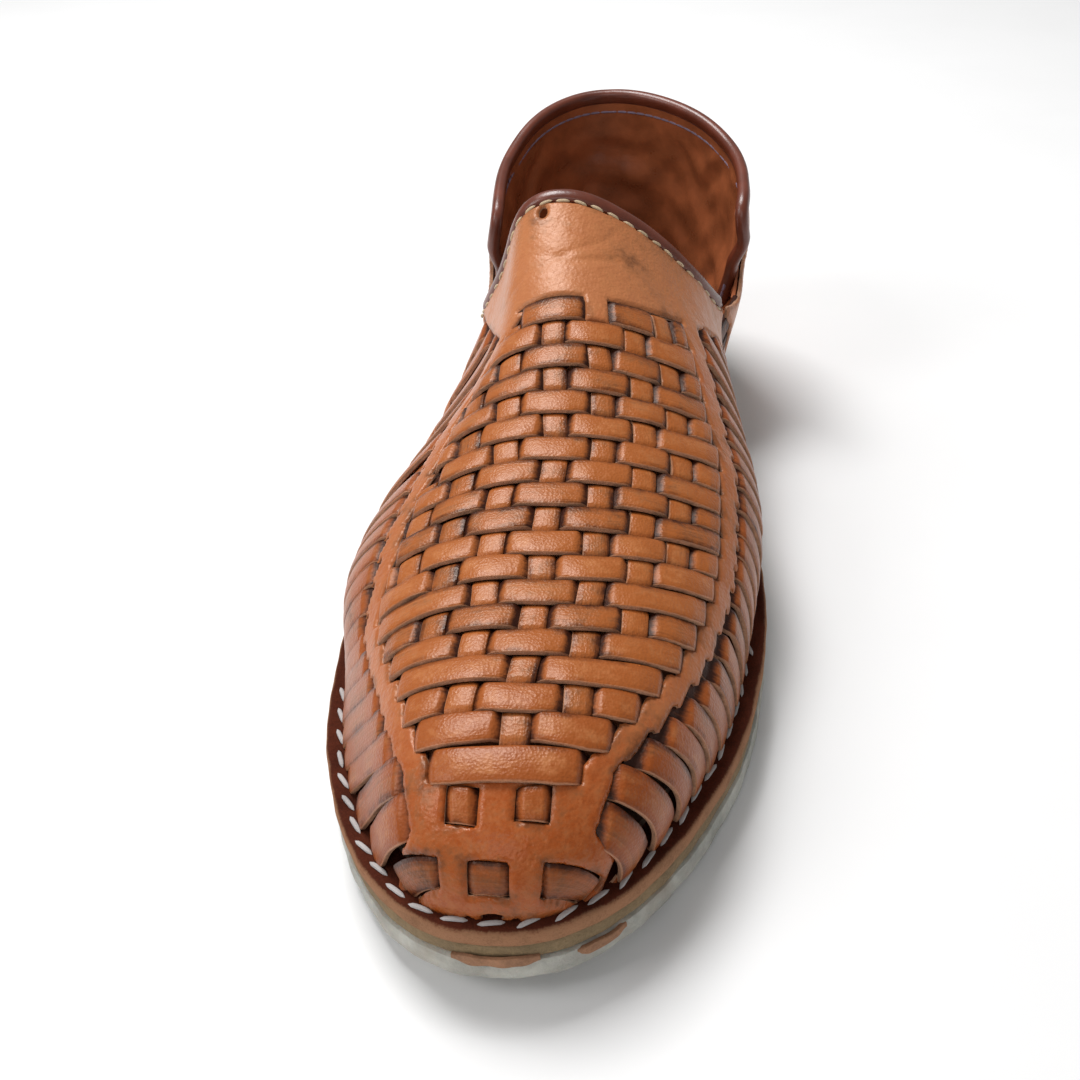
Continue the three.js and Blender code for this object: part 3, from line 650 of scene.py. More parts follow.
class Paint:
    """A material being wired from a Principled shader. where holds Object coordinates in millimetres."""

    def __init__(self, name):
        self.material = bpy.data.materials.new(name)
        self.material.use_nodes = True
        self.tree = self.material.node_tree
        self.shader = self.tree.nodes["Principled BSDF"]
        scale = {0: self.node("ShaderNodeTexCoord", {}, {}, "Object"), 1: (1 / MM,) * 3}
        self.where = self.node("ShaderNodeVectorMath", {"operation": "MULTIPLY"}, scale)

    def node(self, kind, settings, inputs, output=0):
        """Adds a node, its settings first, then the values or links of its sockets, and gives an output."""
        made = self.tree.nodes.new(kind)
        for key, value in settings.items():
            setattr(made, key, value)
        self.feed(made, inputs)
        return Wire(self, made.outputs[output])

    def feed(self, made, inputs):
        """Links wires to a node's sockets, and sets numbers and colours on them."""
        for key, value in inputs.items():
            if isinstance(value, Wire):
                self.tree.links.new(value.socket, made.inputs[key])
            elif isinstance(made.inputs[key].default_value, float):
                made.inputs[key].default_value = value
            else:
                made.inputs[key].default_value = (*value, 1.0)[: len(made.inputs[key].default_value)]

    def value(self, name):
        """A value stored on the piece's points."""
        return self.node("ShaderNodeAttribute", {"attribute_name": name}, {}, "Fac")

    def vector(self, x, y, z):
        return self.node("ShaderNodeCombineXYZ", {}, {0: x, 1: y, 2: z})

    def noise(self, size, detail=3.0, roughness=0.55, where=None):
        """Cloudy value about 0.5, with blobs of the given size in the place's units."""
        where = self.where if where is None else where
        inputs = {"Vector": where, "Scale": 1 / size, "Detail": detail, "Roughness": roughness}
        return self.node("ShaderNodeTexNoise", {}, inputs)

    def cells(self, size, feature="F1"):
        """Distance to the nearest of scattered points, for pores and pebbles."""
        inputs = {"Vector": self.where, "Scale": 1 / size}
        return self.node("ShaderNodeTexVoronoi", {"feature": feature}, inputs, "Distance")

    def mix(self, share, first, second):
        """Colour between two, by share."""
        settings = {"data_type": "RGBA", "clamp_factor": True}
        return self.node("ShaderNodeMix", settings, {0: share, 6: first, 7: second}, 2)

    def tones(self, share, colour, dark, light):
        """Colour between a darker and a lighter tone of one, by share."""
        return self.mix(share, tinted(colour, dark), tinted(colour, light))

    def bump(self, height, distance, strength=1.0):
        """Normal of a relief whose height of 1 is the given distance in millimetres."""
        inputs = {"Strength": strength, "Distance": distance * MM, "Height": height}
        return self.node("ShaderNodeBump", {}, inputs)

    def done(self, **sockets):
        """Sets the shader's sockets, named with _ for spaces, and returns the material."""
        names = {s.name.lower().replace(" ", "_"): s.name for s in self.shader.inputs}
        self.feed(self.shader, {names[key]: value for key, value in sockets.items()})
        return self.material


def finishes():
    return bpy.context.scene.huarache_finishes


def weave_sizes():
    return bpy.context.scene.huarache_weave


def trim_sizes():
    return bpy.context.scene.huarache_trim


def tinted(colour, factor):
    """The colour made lighter or darker by a factor."""
    return tuple(min(c * factor, 1.0) for c in colour)


@functools.cache
def strip_leather():
    """Burnished strip leather: streaks along the strip, a tone of its own, dark burnish towards its edges, its
    heel side and where it dips under, which also paints the shade that falls there, a pale line of raw-edge
    colour along its toe side that is partly a painted highlight, pale mottling that is partly a painted
    highlight on its raised tops, a redder toe, raised all along the side strips where it also paints shade,
    pebbled grain and a broken gloss."""
    paint, colours = Paint("strip_leather"), finishes()
    across, along, tone = paint.value("across"), paint.value("along"), paint.value("tone")
    streak = paint.noise(1.0, 4.0, 0.65, paint.vector(along * 0.12, across * 5.0, tone * 50.0))
    cloud = paint.noise(7.0, 3.0)
    mottle = paint.noise(1.6, 4.0, 0.7)
    # Darker towards both edges and most on the heel side: dark burnish, together with painted shade in the gaps
    # between rows and under the lifted toe side of the row behind
    edge = abs(across).step(0.5, 1.0)
    heel = across.step(0.1, 1.0)
    # Pale line of raw-edge colour along the toe side, partly a painted highlight where that cut edge catches
    # the light
    raw_edge_glint = (0 - across + (mottle - 0.5) * 0.14).step(0.9, 0.985)
    # Dips under crossing strips: dark burnish and painted shade, darker the lower the strip lies below its own
    # top; duller there too
    dip_shade = 1 - paint.value("level").step(-1.7, -0.15)
    dark = edge * 0.26 + heel * 0.28 + dip_shade * 0.9 + (tone - 0.5) * 0.5 + (streak - 0.5) * 0.7
    dark = dark + (cloud - 0.5) * 1.1 + (mottle - 0.5) * 0.8
    # The red value gives the toe its redder burnish; on the side strips it stays high all along, which also
    # paints shade on the shoe's sides
    base = paint.mix(paint.value("red") * 0.6, colours.woven, colours.red)
    # Pale mottling in clouds, kept off the edges and dips: partly the leather's own uneven tone, partly a
    # painted highlight on the strips' raised tops
    pale_and_highlight = (cloud * 0.5 + mottle * 0.5 - edge * 0.3 - dip_shade * 0.4).step(0.42, 0.72)
    base = paint.mix(pale_and_highlight * 0.6, base, colours.pale)
    base = paint.mix(dark.step(0.0, 0.95), base, colours.shade)
    base = paint.mix(raw_edge_glint * 0.55, base, colours.raw)
    grain = paint.cells(0.6)
    crease = paint.noise(1.0, 4.0, where=paint.vector(along * 0.6, across * 1.2, tone * 31.0))
    relief = grain * 0.4 + streak * 0.45 + crease * 0.3 + mottle * 0.15
    return paint.done(base_color=base, roughness=0.34 + (mottle - 0.5) * 0.3 + dip_shade * 0.25, coat_weight=0.1,
                      coat_roughness=0.25, normal=paint.bump(relief, 0.2), specular_ior_level=0.36,
                      specular_tint=(1.0, 0.8, 0.66))


@functools.cache
def raw_edge():
    """Cut edge of the leather: fine fibres between a dark and a pale tone, in patches."""
    paint, colours = Paint("raw_edge"), finishes()
    fibre = paint.noise(0.5, 4.0, 0.7)
    patch = paint.noise(3.0, 2.0)
    base = paint.tones((fibre * 0.6 + patch * 0.7).step(0.35, 0.95), colours.raw, 0.4, 1)
    return paint.done(base_color=base, roughness=0.8, normal=paint.bump(fibre, 0.25))


@functools.cache
def flesh_side():
    """Rough inner side of the leather."""
    paint, colours = Paint("flesh_side"), finishes()
    nap = paint.noise(0.4, 4.0, 0.7)
    patch = paint.noise(6.0, 3.0)
    base = paint.mix(nap * 0.5 + patch * 0.5, tinted(colours.lining, 0.8), tinted(colours.tab, 0.55))
    return paint.done(base_color=base, roughness=0.85, normal=paint.bump(nap, 0.3))


@functools.cache
def plain_leather():
    """Plain leather of tab, bands and counter: pebbled grain, soft clouds of tone, pale patches in clouds, a
    darker rim and a redder, darker toe."""
    paint, colours = Paint("plain_leather"), finishes()
    cloud = paint.noise(12.0, 3.0)
    mottle = paint.noise(2.0, 4.0, 0.62)
    pebble = paint.cells(0.8, "SMOOTH_F1")
    wrinkle = paint.noise(3.2, 5.0, 0.6)
    base = paint.mix(paint.value("shade"), colours.tab, tinted(colours.red, 1.22))
    base = paint.mix((mottle * 0.6 + cloud * 0.5).step(0.42, 0.8) * 0.55, base, colours.pale)
    dark = (cloud - 0.5) * 1.5 + (mottle - 0.5) * 0.8 + paint.value("rim") * 0.22
    dark = dark + paint.value("shade") * ((cloud - 0.5) * 0.7 + (mottle - 0.5) * 0.5)
    base = paint.mix(dark.step(0.0, 0.8) * 0.8, base, tinted(colours.shade, 1.2))
    relief = pebble * 0.5 + wrinkle * 1.4
    dull = 0.38 + (mottle - 0.5) * 0.35 - paint.value("shade") * 0.1
    return paint.done(base_color=base, roughness=dull, coat_weight=0.1, coat_roughness=0.3,
                      normal=paint.bump(relief, 0.22), specular_ior_level=0.36,
                      specular_tint=(1.0, 0.78, 0.62))


def roll_leather(name, colour, gloss):
    """Smooth thin leather of a rolled edge or lining, in soft clouds of tone."""
    paint = Paint(name)
    cloud = paint.noise(8.0, 3.0)
    grain = paint.noise(0.7, 4.0, 0.6)
    base = paint.tones(cloud.step(0.25, 0.8), colour, 0.75, 1.2)
    return paint.done(base_color=base, roughness=gloss + (cloud - 0.5) * 0.15, coat_weight=0.15,
                      coat_roughness=0.25, normal=paint.bump(grain * 0.5 + cloud, 0.12))


def fuzzy_layer(name, colour, dark, light, nap, relief):
    """Matt cut edge or suede: fibres of the given size between two tones of a colour, in larger patches."""
    paint = Paint(name)
    fibre = paint.noise(nap, 4.0, 0.75)
    patch = paint.noise(7.0, 4.0)
    base = paint.tones((fibre * 0.8 + patch * 0.8).step(0.45, 1.15), colour, dark, light)
    return paint.done(base_color=base, roughness=0.9, normal=paint.bump(fibre + patch, relief))


def welt_finish():
    """Welt leather: fuzzy tan at its cut edge, going over a soft uneven line into dark brown suede on top."""
    paint, colours = Paint("welt_fibre"), finishes()
    fibre = paint.noise(0.5, 4.0, 0.75)
    patch = paint.noise(6.0, 4.0)
    spread = (fibre * 0.8 + patch * 0.8).step(0.45, 1.15)
    edge = paint.tones(spread, colours.welt, 0.55, 1.08)
    suede = paint.tones(spread, colours.suede, 0.55, 1.3)
    inwards = (paint.value("inset") + (patch - 0.5) * 1.2 + (fibre - 0.5) * 1.0).step(0.2, 1.0)
    return paint.done(base_color=paint.mix(inwards, edge, suede), roughness=0.92, specular_ior_level=0.1,
                      normal=paint.bump(fibre + patch, 0.4))


def crepe_rubber():
    """Grey-white tread: milky blotches, a few yellow stains and a rough cut skin."""
    paint, colours = Paint("tread_rubber"), finishes()
    blotch = paint.noise(11.0, 5.0, 0.65)
    rough = paint.noise(1.1, 5.0, 0.7)
    stain = paint.noise(26.0, 3.0)
    base = paint.tones(blotch.step(0.3, 0.75), colours.crepe, 0.62, 1.12)
    base = paint.mix(stain.step(0.5, 0.72) * 0.55, base, tinted(colours.olive, 0.95))
    return paint.done(base_color=base, roughness=0.55 + (rough - 0.5) * 0.4, subsurface_weight=0.08,
                      normal=paint.bump(rough + blotch, 0.5))


def thread_finish(name, colour):
    """Waxed thread: fine fibres, soil in patches and a dull shine."""
    paint = Paint(name)
    ply = paint.noise(0.35, 3.0, 0.7)
    soil = paint.noise(6.0, 3.0)
    base = paint.tones((soil * 0.9 + ply * 0.4).step(0.35, 0.9), colour, 0.72, 1.08)
    return paint.done(base_color=base, roughness=0.5, normal=paint.bump(ply, 0.2))


def panel_half(s0):
    """Half width of the woven panel, with a saw edge: each row's toe side reaches further out."""
    tooth = np.mod((s0 - ROW_THROAT) / ROW_PITCH + 0.5, 1) - 0.5
    return curve(PANEL, "half", s0) - SAW_DEPTH * tooth * smooth(s0, 22, 30)


def row_place(i):
    """Distance of row i from the toe along the ridge, counted from the throat."""
    return ROW_THROAT - ROW_PITCH * (i - 1)


def strip_place(base, s0):
    """Arc of a lengthwise strip: its column's place, drifting to the inner side towards the throat."""
    return base + curve(STRIP_DRIFT, "shift", s0)


class HUARACHE_OT_cross_strips(bpy.types.Operator):
    """Weaves the strips that run across the vamp"""

    bl_idname = "huarache.cross_strips"
    bl_label = "Cross strips"

    def execute(self, context):
        sizes, rng = weave_sizes(), np.random.default_rng(SEED)
        thick, width = sizes.thickness / MM, sizes.cross_width / MM
        over, under = sizes.float_height / MM, -sizes.tuck_depth / MM
        shells = []
        for i in range(1, ROWS + 1):
            s0 = row_place(i)
            middle, half = curve(PANEL, "middle", s0), curve(PANEL, "half", s0)
            a = np.linspace(middle - half - 5, middle + half + 5, 220)
            clear = half + 1.8 - np.abs(a - middle)
            for number, base, last_row in STRIPS:
                if (i + number) % 2 == 0 and i <= last_row:
                    clear = np.minimum(clear, np.abs(a - strip_place(base, s0)) - 1.2)
            on_top, arch = smooth(clear, 0.0, 3.6), smooth(clear, 1.5, 8.0)
            height = under + (over - under) * on_top + 0.45 * arch + 0.12 * ripple(a, SEED + i, 31, 17, 11)
            swell = 0.87 + 0.11 * on_top + 0.07 * arch + 0.03 * ripple(a, SEED + 90 + i, 40, 23)
            wander = rng.uniform(-0.2, 0.2) - 0.3 * arch + 0.25 * ripple(a, SEED + 50 + i, 60, 33)
            place = lambda at, u, h: on_weave(s0 + u + np.interp(at, a, wander), at, h)
            shells.append(strip(place, a, width / 2 * swell, thick, height, rng.uniform(0, 1),
                                1 - smooth(s0, 15, 60), 0.3 * arch))
        shells += [self.toe_window(np.array(heel), np.array(toe), thick) for heel, toe in TOE_WINDOWS]
        add_piece("cross_strips", shells, [strip_leather(), raw_edge()])
        return {"FINISHED"}

    def toe_window(self, heel, toe, thick):
        """A strip's piece that shows in a window of the toe cap: places run straight from the toe edge to the
        heel edge, and both ends run on under the cap. It lies deeper in the front windows, and darker there as
        painted shade in those recesses."""
        reach = 2.5 / np.linalg.norm(heel[1] - heel[0])
        t = np.linspace(-reach, 1 + reach, 80)

        def place(at, u, h):
            low, high = (edge[0] + at[..., None] * (edge[1] - edge[0]) for edge in (toe, heel))
            where = low + (u[..., None] + 1) / 2 * (high - low)
            return on_last(where[..., 0], where[..., 1], h)

        # Front windows: set deeper, and a darker tone as painted shade in the recess
        top, tone = (0.35, 0.5) if heel[0, 0] > 15 else (-0.35, 1.1)
        height = -1.3 + (1.3 + top) * smooth(0.5 + reach * 0.3 - np.abs(t - 0.5), 0, reach)
        return strip(place, t, 1.02, thick, height, tone, 1.0)


class HUARACHE_OT_long_strips(bpy.types.Operator):
    """Weaves the strips that run along the vamp"""

    bl_idname = "huarache.long_strips"
    bl_label = "Long strips"

    def execute(self, context):
        sizes, rng = weave_sizes(), np.random.default_rng(SEED + 1)
        thick, half_width = sizes.thickness / MM, sizes.long_width / MM / 2
        shells = []
        for number, base, last_row in STRIPS:
            s0 = np.arange(row_place(last_row) - 7, PANEL_THROAT + 3, 0.5)
            rise = np.zeros_like(s0)
            for i in range(1, last_row + 1):
                tongue = i == 1 and number == TONGUE["strip"]
                if (i + number) % 2 == 0 and not tongue:
                    rise = np.maximum(rise, 1 - smooth(np.abs(s0 - row_place(i)), 2.0, 4.9))
            inside = panel_half(s0) - np.abs(strip_place(base, s0) - curve(PANEL, "middle", s0))
            clear = smooth(inside, 0, 2.5)
            wave = 0.08 * ripple(s0, SEED + 20 + number, 29, 13)
            height = -1.15 + 1.2 * (rise * clear) + wave - 0.6 * (1 - clear)
            height = np.where(s0 > PANEL_THROAT - 0.5, np.minimum(height, -1.15), height)
            wander = 0.35 * ripple(s0, SEED + 40 + number, 41, 19)
            arc = lambda at: strip_place(base, at) + np.interp(at, s0, wander)
            place = lambda at, u, h: on_weave(at, arc(at) + u, h)
            shells.append(strip(place, s0, half_width, thick, height, rng.uniform(0, 1)))
        add_piece("long_strips", shells, [strip_leather(), raw_edge()])
        return {"FINISHED"}


def throat_line(z):
    """Distance from the toe of the throat's edge at a height."""
    line = spline(THROAT_EDGE + OPENING_FLOOR, 400)
    falling = line[np.argsort(line[:, 1])]
    return np.interp(z, falling[:, 1], falling[:, 0])


def tab_edge(s, side):
    """Arc of the tab's lower edge at distance s on one side."""
    start, arc, widening = TAB_EDGE[side]
    return arc + widening * (s - start)


def window_inside(s, a):
    """How far inside the toe cap's windows a place lies: the least way to a window's four edges, with s
    stretched to the length it runs on the steep toe."""
    best = np.full(np.broadcast(s, a).shape, -9.0)
    stretch = 1 + 2.6 * (1 - smooth(s, 4, 16))
    for heel, toe in TOE_WINDOWS:
        low, high = (heel[0][1] + toe[0][1]) / 2, (heel[1][1] + toe[1][1]) / 2
        share = np.clip((a - low) / (high - low), 0, 1)
        heel_s, toe_s = (edge[0][0] + share * (edge[1][0] - edge[0][0]) for edge in (heel, toe))
        inside = np.minimum(np.minimum(heel_s - s, s - toe_s) * stretch, np.minimum(a - low, high - a))
        best = np.maximum(best, inside)
    return best


def hole_distance(s, a, hole):
    """How far a place lies outside an elliptic hole, about right close to its edge."""
    middle, arc, half_s, half_a = hole
    return (np.hypot((s - middle) / half_s, (a - arc) / half_a) - 1) * min(half_s, half_a)


def frame_margin(s0, a):
    """How far inside the plain leather a place lies: outside the woven panel, the toe windows and the two
    small holes, inside the band's outer edge, in front of the throat's scalloped edge and above the feather."""
    half, off = panel_half(s0), np.abs(a - curve(PANEL, "middle", s0))
    column = {number: base for number, base, last_row in STRIPS}[TONGUE["strip"]]
    tongue = TONGUE["half"] - np.abs(a - strip_place(column, s0))
    throat_side = np.maximum(np.minimum(tongue, s0 - TONGUE["front"]), s0 - PANEL_THROAT)
    hole = np.minimum(np.minimum(half - off, s0 - PANEL_TOE), -throat_side)
    s = np.clip(s0 + bow(s0, a), UPPER_TOE + END_GAP, UPPER_HEEL)
    hole = np.maximum(hole, -np.minimum(hole_distance(s, a, CAP_GAP), hole_distance(s, a, TAB_HOLE)))
    hole = np.maximum(hole, window_inside(s, a) + 0.25)
    tab = np.where(a > 0, tab_edge(s, 1), tab_edge(s, -1)) - np.abs(a)
    edge = np.maximum(half + curve(FRAME_EDGE, "beyond", s0) - off, np.where(s0 > 120, tab, -9))
    z = last_point(s, ARCS.angle(s, a))[..., 2]
    scallop = 0.4 * np.abs(np.sin(np.pi * throat_run(a) / STITCH_PITCH))
    throat = throat_line(z) - s - 2.3 + scallop
    feather = np.where(a > 0, ARCS.end(s, 1), ARCS.end(s, -1)) - np.abs(a) + 1.5
    return np.minimum(np.minimum(-hole, edge), np.minimum(throat, feather))


def tab_relief(s0, a):
    """Height of the plain leather's top: soft waves, less the tab's creases, each a trough that fades
    along and across."""
    s = s0 + bow(s0, a)
    height = 0.75 + 0.1 * ripple(s + 0.7 * a, SEED + 70, 23, 14)
    height = height + 0.1 * ripple(a - 0.4 * s, SEED + 71, 19, 31)
    for middle, arc, length, width, depth, turn in TAB_CREASES:
        c, n = np.cos(np.radians(turn)), np.sin(np.radians(turn))
        x, y = (a - arc) * c + (s - middle) * n, (s - middle) * c - (a - arc) * n
        height = height - depth * np.exp(-((x / length) ** 2) - (y / width) ** 2)
    return height


class HUARACHE_OT_vamp_frame(bpy.types.Operator):
    """Cuts the plain leather round the weave, as tab, side bands and toe cap, and the lining below it"""

    bl_idname = "huarache.vamp_frame"
    bl_label = "Vamp frame"

    def execute(self, context):
        fine = np.linspace(UPPER_TOE + 0.05, 205, 3000)
        ridge = last_point(fine, np.full_like(fine, np.pi / 2))
        run = run_along(ridge)
        s0 = np.interp(np.arange(0, run[-1], FRAME_STEP), run, fine)
        u, v = np.meshgrid(s0, np.arange(-72, 72, FRAME_STEP), indexing="ij")
        shade = lambda s, a: np.maximum(1 - smooth(s, 10, 60), 0.4 * (1 - smooth(s, 138, 150)))
        rim = lambda s, a: 1 - smooth(frame_margin(s, a), 0.2, 3.0)
        sheet = cut_sheet(u, v, frame_margin, on_weave, tab_relief, -0.35, 0.6, {"shade": shade, "rim": rim})
        add_piece("vamp_frame", [sheet], [plain_leather(), raw_edge(), flesh_side()], crease=SHEET_CREASE)
        s0 = np.arange(PANEL_TOE, PANEL_THROAT + 4, 2.0)
        u, v = np.meshgrid(s0, np.arange(-56, 64, 2.0), indexing="ij")
        lining = cut_sheet(u, v, self.lining_margin, on_weave, -2.4, -2.9, 0.2)
        add_piece("vamp_lining", [lining], [flesh_side()], crease=SHEET_CREASE)
        return {"FINISHED"}

    def lining_margin(self, s0, a):
        """How far inside the lining below the weave a place lies: a little past the panel's sides and throat
        end, and short of its toe end."""
        off = np.abs(a - curve(PANEL, "middle", s0))
        ends = np.minimum(s0 - PANEL_TOE - 1, PANEL_THROAT + 2 - s0)
        return np.minimum(curve(PANEL, "half", s0) + 4 - off, ends)


class HUARACHE_OT_side_strips(bpy.types.Operator):
    """Lays the strips from the bands down to the welt, and the straps woven through them"""

    bl_idname = "huarache.side_strips"
    bl_label = "Side strips"

    # Straps along the sides, as side view points from the counter towards the ball
    STRAPS = (
        ((212, 41), (190, 38), (170, 35), (150, 32), (130, 28), (115, 22), (104, 16.5)),
        ((212, 33), (190, 30), (170, 27), (150, 24), (132, 20), (120, 16.5)),
        ((212, 25), (190, 21), (172, 16.5)),
    )

    def execute(self, context):
        sizes, rng = weave_sizes(), np.random.default_rng(SEED + 2)
        thick, half_width = sizes.thickness / MM, sizes.side_width / MM / 2
        shells = []
        for side in SIDES:
            for i in range(-4, 21):
                s0 = row_place(i)
                start = side * curve(PANEL, "middle", s0) + curve(PANEL, "half", s0)
                start = start + curve(FRAME_EDGE, "beyond", s0) - 3.0
                back, toe = bow(s0, np.array(side * start)) * (0.5 if i < 0 else 1.0), smooth(i, 9, 15)
                if s0 > 140:
                    start = max(start, tab_edge(s0 + back, side) - 3.0)
                lean = (11.0 if side < 0 else 5.0) * toe * (1 - 0.6 * smooth(i, 18, 20))
                first, foot = s0 + back * (1 - 0.6 * toe), s0 + back * 0.55 * (1 - toe) + lean
                if start > ARCS.end(foot, side) - 6:
                    continue
                t = np.linspace(0, 1, 70)
                a = start + (ARCS.end(foot, side) - 0.3 - start) * t
                s = first + (foot - first) * t
                out = smooth(a - start, 2.0, 5.5)
                height = -1.4 + 1.5 * out + 0.2 * np.sin(np.pi * t) - 0.4 * smooth(t, 0.9, 1.0)
                if s0 > 100:
                    z = last_point(s, ARCS.angle(s, side * a))[:, 2]
                    for k, strap in enumerate(self.STRAPS):
                        line = spline(strap, 200)[::-1]
                        near = np.abs(z - np.interp(s, line[:, 0], line[:, 1]))
                        if (i + k) % 2 == 0:
                            height = height - 1.7 * (1 - smooth(near, 2.0, 5.5)) * (s > line[0, 0])
                snug = (side < 0) * (1 - smooth(s0, 70, 110))
                open_side = smooth(s0, 102, 112) if side < 0 else 0.0
                height = height - 1.5 * open_side * (i % 2)
                slim = 1 + 0.12 * snug + 0.2 * open_side - 0.1 * smooth(s0, 112, 128) * (side > 0)
                waist = slim - 0.16 * smooth(t, 0.2, 0.55) * (1 - smooth(t, 0.8, 1.0)) * rng.uniform(0.3, 1)
                place = lambda at, u, h: on_last(np.interp(at, t, s) + u, side * np.interp(at, t, a), h)
                # Side strips get darker tones and more red than the vamp: their redder burnish, together with
                # painted shade for the shoe's sides
                shells.append(strip(place, t, half_width * waist, thick, height, rng.uniform(0.4, 1.0),
                                    1.4 - 0.4 * smooth(s0, 15, 60), 0.25 * out * (1 - 0.7 * snug)))
            for k, strap in enumerate(self.STRAPS):
                line = spline(strap, 160)
                rise = np.zeros(len(line))
                for i in range(-4, 17):
                    s0 = row_place(i)
                    start = curve(PANEL, "half", s0) + curve(FRAME_EDGE, "beyond", s0)
                    if (i + k) % 2 == 0:
                        at = s0 + 0.75 * bow(s0, np.array(side * start))
                        rise = np.maximum(rise, 1 - smooth(np.abs(line[:, 0] - at), 2.0, 5.0))
                height = -1.1 + 1.5 * rise
                t = np.linspace(0, 1, len(line))
                follow = lambda at, column: np.interp(at, t, line[:, column])
                place = lambda at, u, h: on_side(follow(at, 0), follow(at, 1) + u, side, h)
                shells.append(strip(place, t, 3.3, thick, height, rng.uniform(0, 1)))
        add_piece("side_strips", shells, [strip_leather(), raw_edge()])
        return {"FINISHED"}


def opening_distance(s, z):
    """Signed distance in the side view from the collar's outline, positive outside the opening."""
    line = np.concatenate([spline(THROAT_EDGE + OPENING_FLOOR + TOPLINE, 140), [(330, 160), (178, 160)]])
    p = np.stack([s, z], -1)
    best = np.full(s.shape, 1e9)
    inside = np.zeros(s.shape, bool)
    for a, b in zip(line, np.roll(line, -1, axis=0)):
        ab = b - a
        t = np.clip(((p - a) @ ab) / (ab @ ab), 0, 1)
        best = np.minimum(best, np.linalg.norm(p - a - t[..., None] * ab, axis=-1))
        crosses = (a[1] > z) != (b[1] > z)
        inside ^= crosses & (s < a[0] + (z - a[1]) * ab[0] / (ab[1] if ab[1] else 1e-9))
    return np.where(inside, -best, best)


def eye_distance(s, z):
    """Distance outside the counter's eye-shaped openings, about right close to their edges."""
    best = np.full(s.shape, 1e9)
    for middle, height, half, rise, tilt in SIDE_EYES:
        c, n = np.cos(np.radians(tilt)), np.sin(np.radians(tilt))
        x, y = (s - middle) * c + (z - height) * n, (z - height) * c - (s - middle) * n
        best = np.minimum(best, (np.hypot(x / half, y / rise) - 1) * rise)
    return best


def counter_columns():
    """Distances from the toe of columns that run from the outer side's front round the heel to the inner
    side's front, evenly spaced along the wall at half height."""
    s = heelwards(196, 0.05, 900)
    run = run_along(last_point(s, side_angle(s, np.full_like(s, 45.0), 1)))
    outer = np.interp(np.linspace(0, run[-1], int(run[-1] / COUNTER_STEP)), run, s)
    return np.concatenate([outer, outer[::-1][1:]])


class HUARACHE_OT_counter(bpy.types.Operator):
    """Cuts the heel counter with its wings and straps, and the lining inside it"""

    bl_idname = "huarache.counter"
    bl_label = "Heel counter"

    def execute(self, context):
        s = counter_columns()
        u, v = np.meshgrid(np.arange(len(s), dtype=float), np.arange(15.4, 90, COUNTER_STEP), indexing="ij")
        at = lambda x: np.interp(x, np.arange(len(s)), s)
        which = lambda x: np.where(x < len(s) / 2 - 0.5, 1, -1)

        def margin(x, z):
            front = at(x) - COUNTER_FRONT - 2.5 * np.sin((z - 16) / 8 * np.pi)
            return np.minimum(np.minimum(opening_distance(at(x), z), eye_distance(at(x), z)), front)

        def place(x, z, h):
            return on_side(at(x), z, which(x), h)

        def outside(x, z):
            return 0.5 + 0.12 * ripple(at(x) + 0.6 * z, SEED, 37, 21)

        def shade(x, z):
            return 0.35 * (1 - smooth(z, 20, 50))

        rim = lambda x, z: 1 - smooth(margin(x, z), 0.2, 3.0)
        outer = cut_sheet(u, v, margin, place, outside, -0.8, 0.5, {"shade": shade, "rim": rim})
        add_piece("counter", [outer], [plain_leather(), raw_edge(), flesh_side()], crease=SHEET_CREASE)

        def lining_margin(x, z):
            return np.minimum(opening_distance(at(x), z) - 0.6, at(x) - LINING_FRONT)

        def relief(x, z):
            run = x * COUNTER_STEP
            wave = ripple(run + 0.7 * z, SEED + 60, 37, 23) + ripple(z - 0.35 * run, SEED + 61, 26, 15)
            wave = wave + ripple(z + 7 * ripple(run, SEED + 62, 43, 27), SEED + 63, 19, 13)
            return -2.3 - 0.6 * wave * smooth(84 - z, 8, 16)

        inner = cut_sheet(u, v, lining_margin, place, -1.0, relief, 0.3, {"shade": shade})
        lining = roll_leather("heel_lining", finishes().lining, 0.3)
        add_piece("heel_lining", [inner], [lining, lining, lining], crease=SHEET_CREASE)
        return {"FINISHED"}


def roll(path, normal, half_width, half_height, centre, flatness=2.4, ring=16):
    """A rolled edge: a rounded ring carried along a path on the last, half_width along the surface and
    half_height across it, its middle the given height over the last."""
    tangent = unit(np.gradient(path, axis=0))
    aside = unit(np.cross(tangent, normal))
    turn = np.linspace(0, 2 * np.pi, ring, endpoint=False) + np.pi / ring
    c, n = np.cos(turn), np.sin(turn)
    w = np.sign(c) * np.abs(c) ** (2 / flatness) * np.atleast_2d(half_width)
    h = np.sign(n) * np.abs(n) ** (2 / flatness) * half_height + centre
    return path[:, None] + aside[:, None] * w[..., None] + normal[:, None] * h[None, :, None]


def throat_path():
    """The throat's edge from the outer corner over the peak to the inner corner: s solved at each angle so
    that its height lies on the side view's line. Returns s and the angle."""
    angle = np.linspace(0.3, np.pi - 0.3, 700)
    s = np.full_like(angle, 180.0)
    for _ in range(30):
        z = last_point(s, angle)[:, 2]
        s = 0.5 * s + 0.5 * throat_line(z)
    z = last_point(s, angle)[:, 2]
    keep = z > 47.5
    return even(np.stack([s[keep], angle[keep]], 1) * (1, 50), 260) / (1, 50)


@functools.cache
def throat_arcs():
    """Arc over the section and length run along the throat's edge, from the inner to the outer corner."""
    place = throat_path()[::-1]
    points = last_point(place[:, 0], place[:, 1])
    run = run_along(points)
    line = np.clip(((place[:, 0] - ARCS.s[0]) / ARCS.STEP).round().astype(int), 0, len(ARCS.s) - 1)
    turn = ((np.pi - place[:, 1]) / np.pi * (len(ARCS.ANGLES) - 1)).round().astype(int)
    return ARCS.arc[line, turn], run


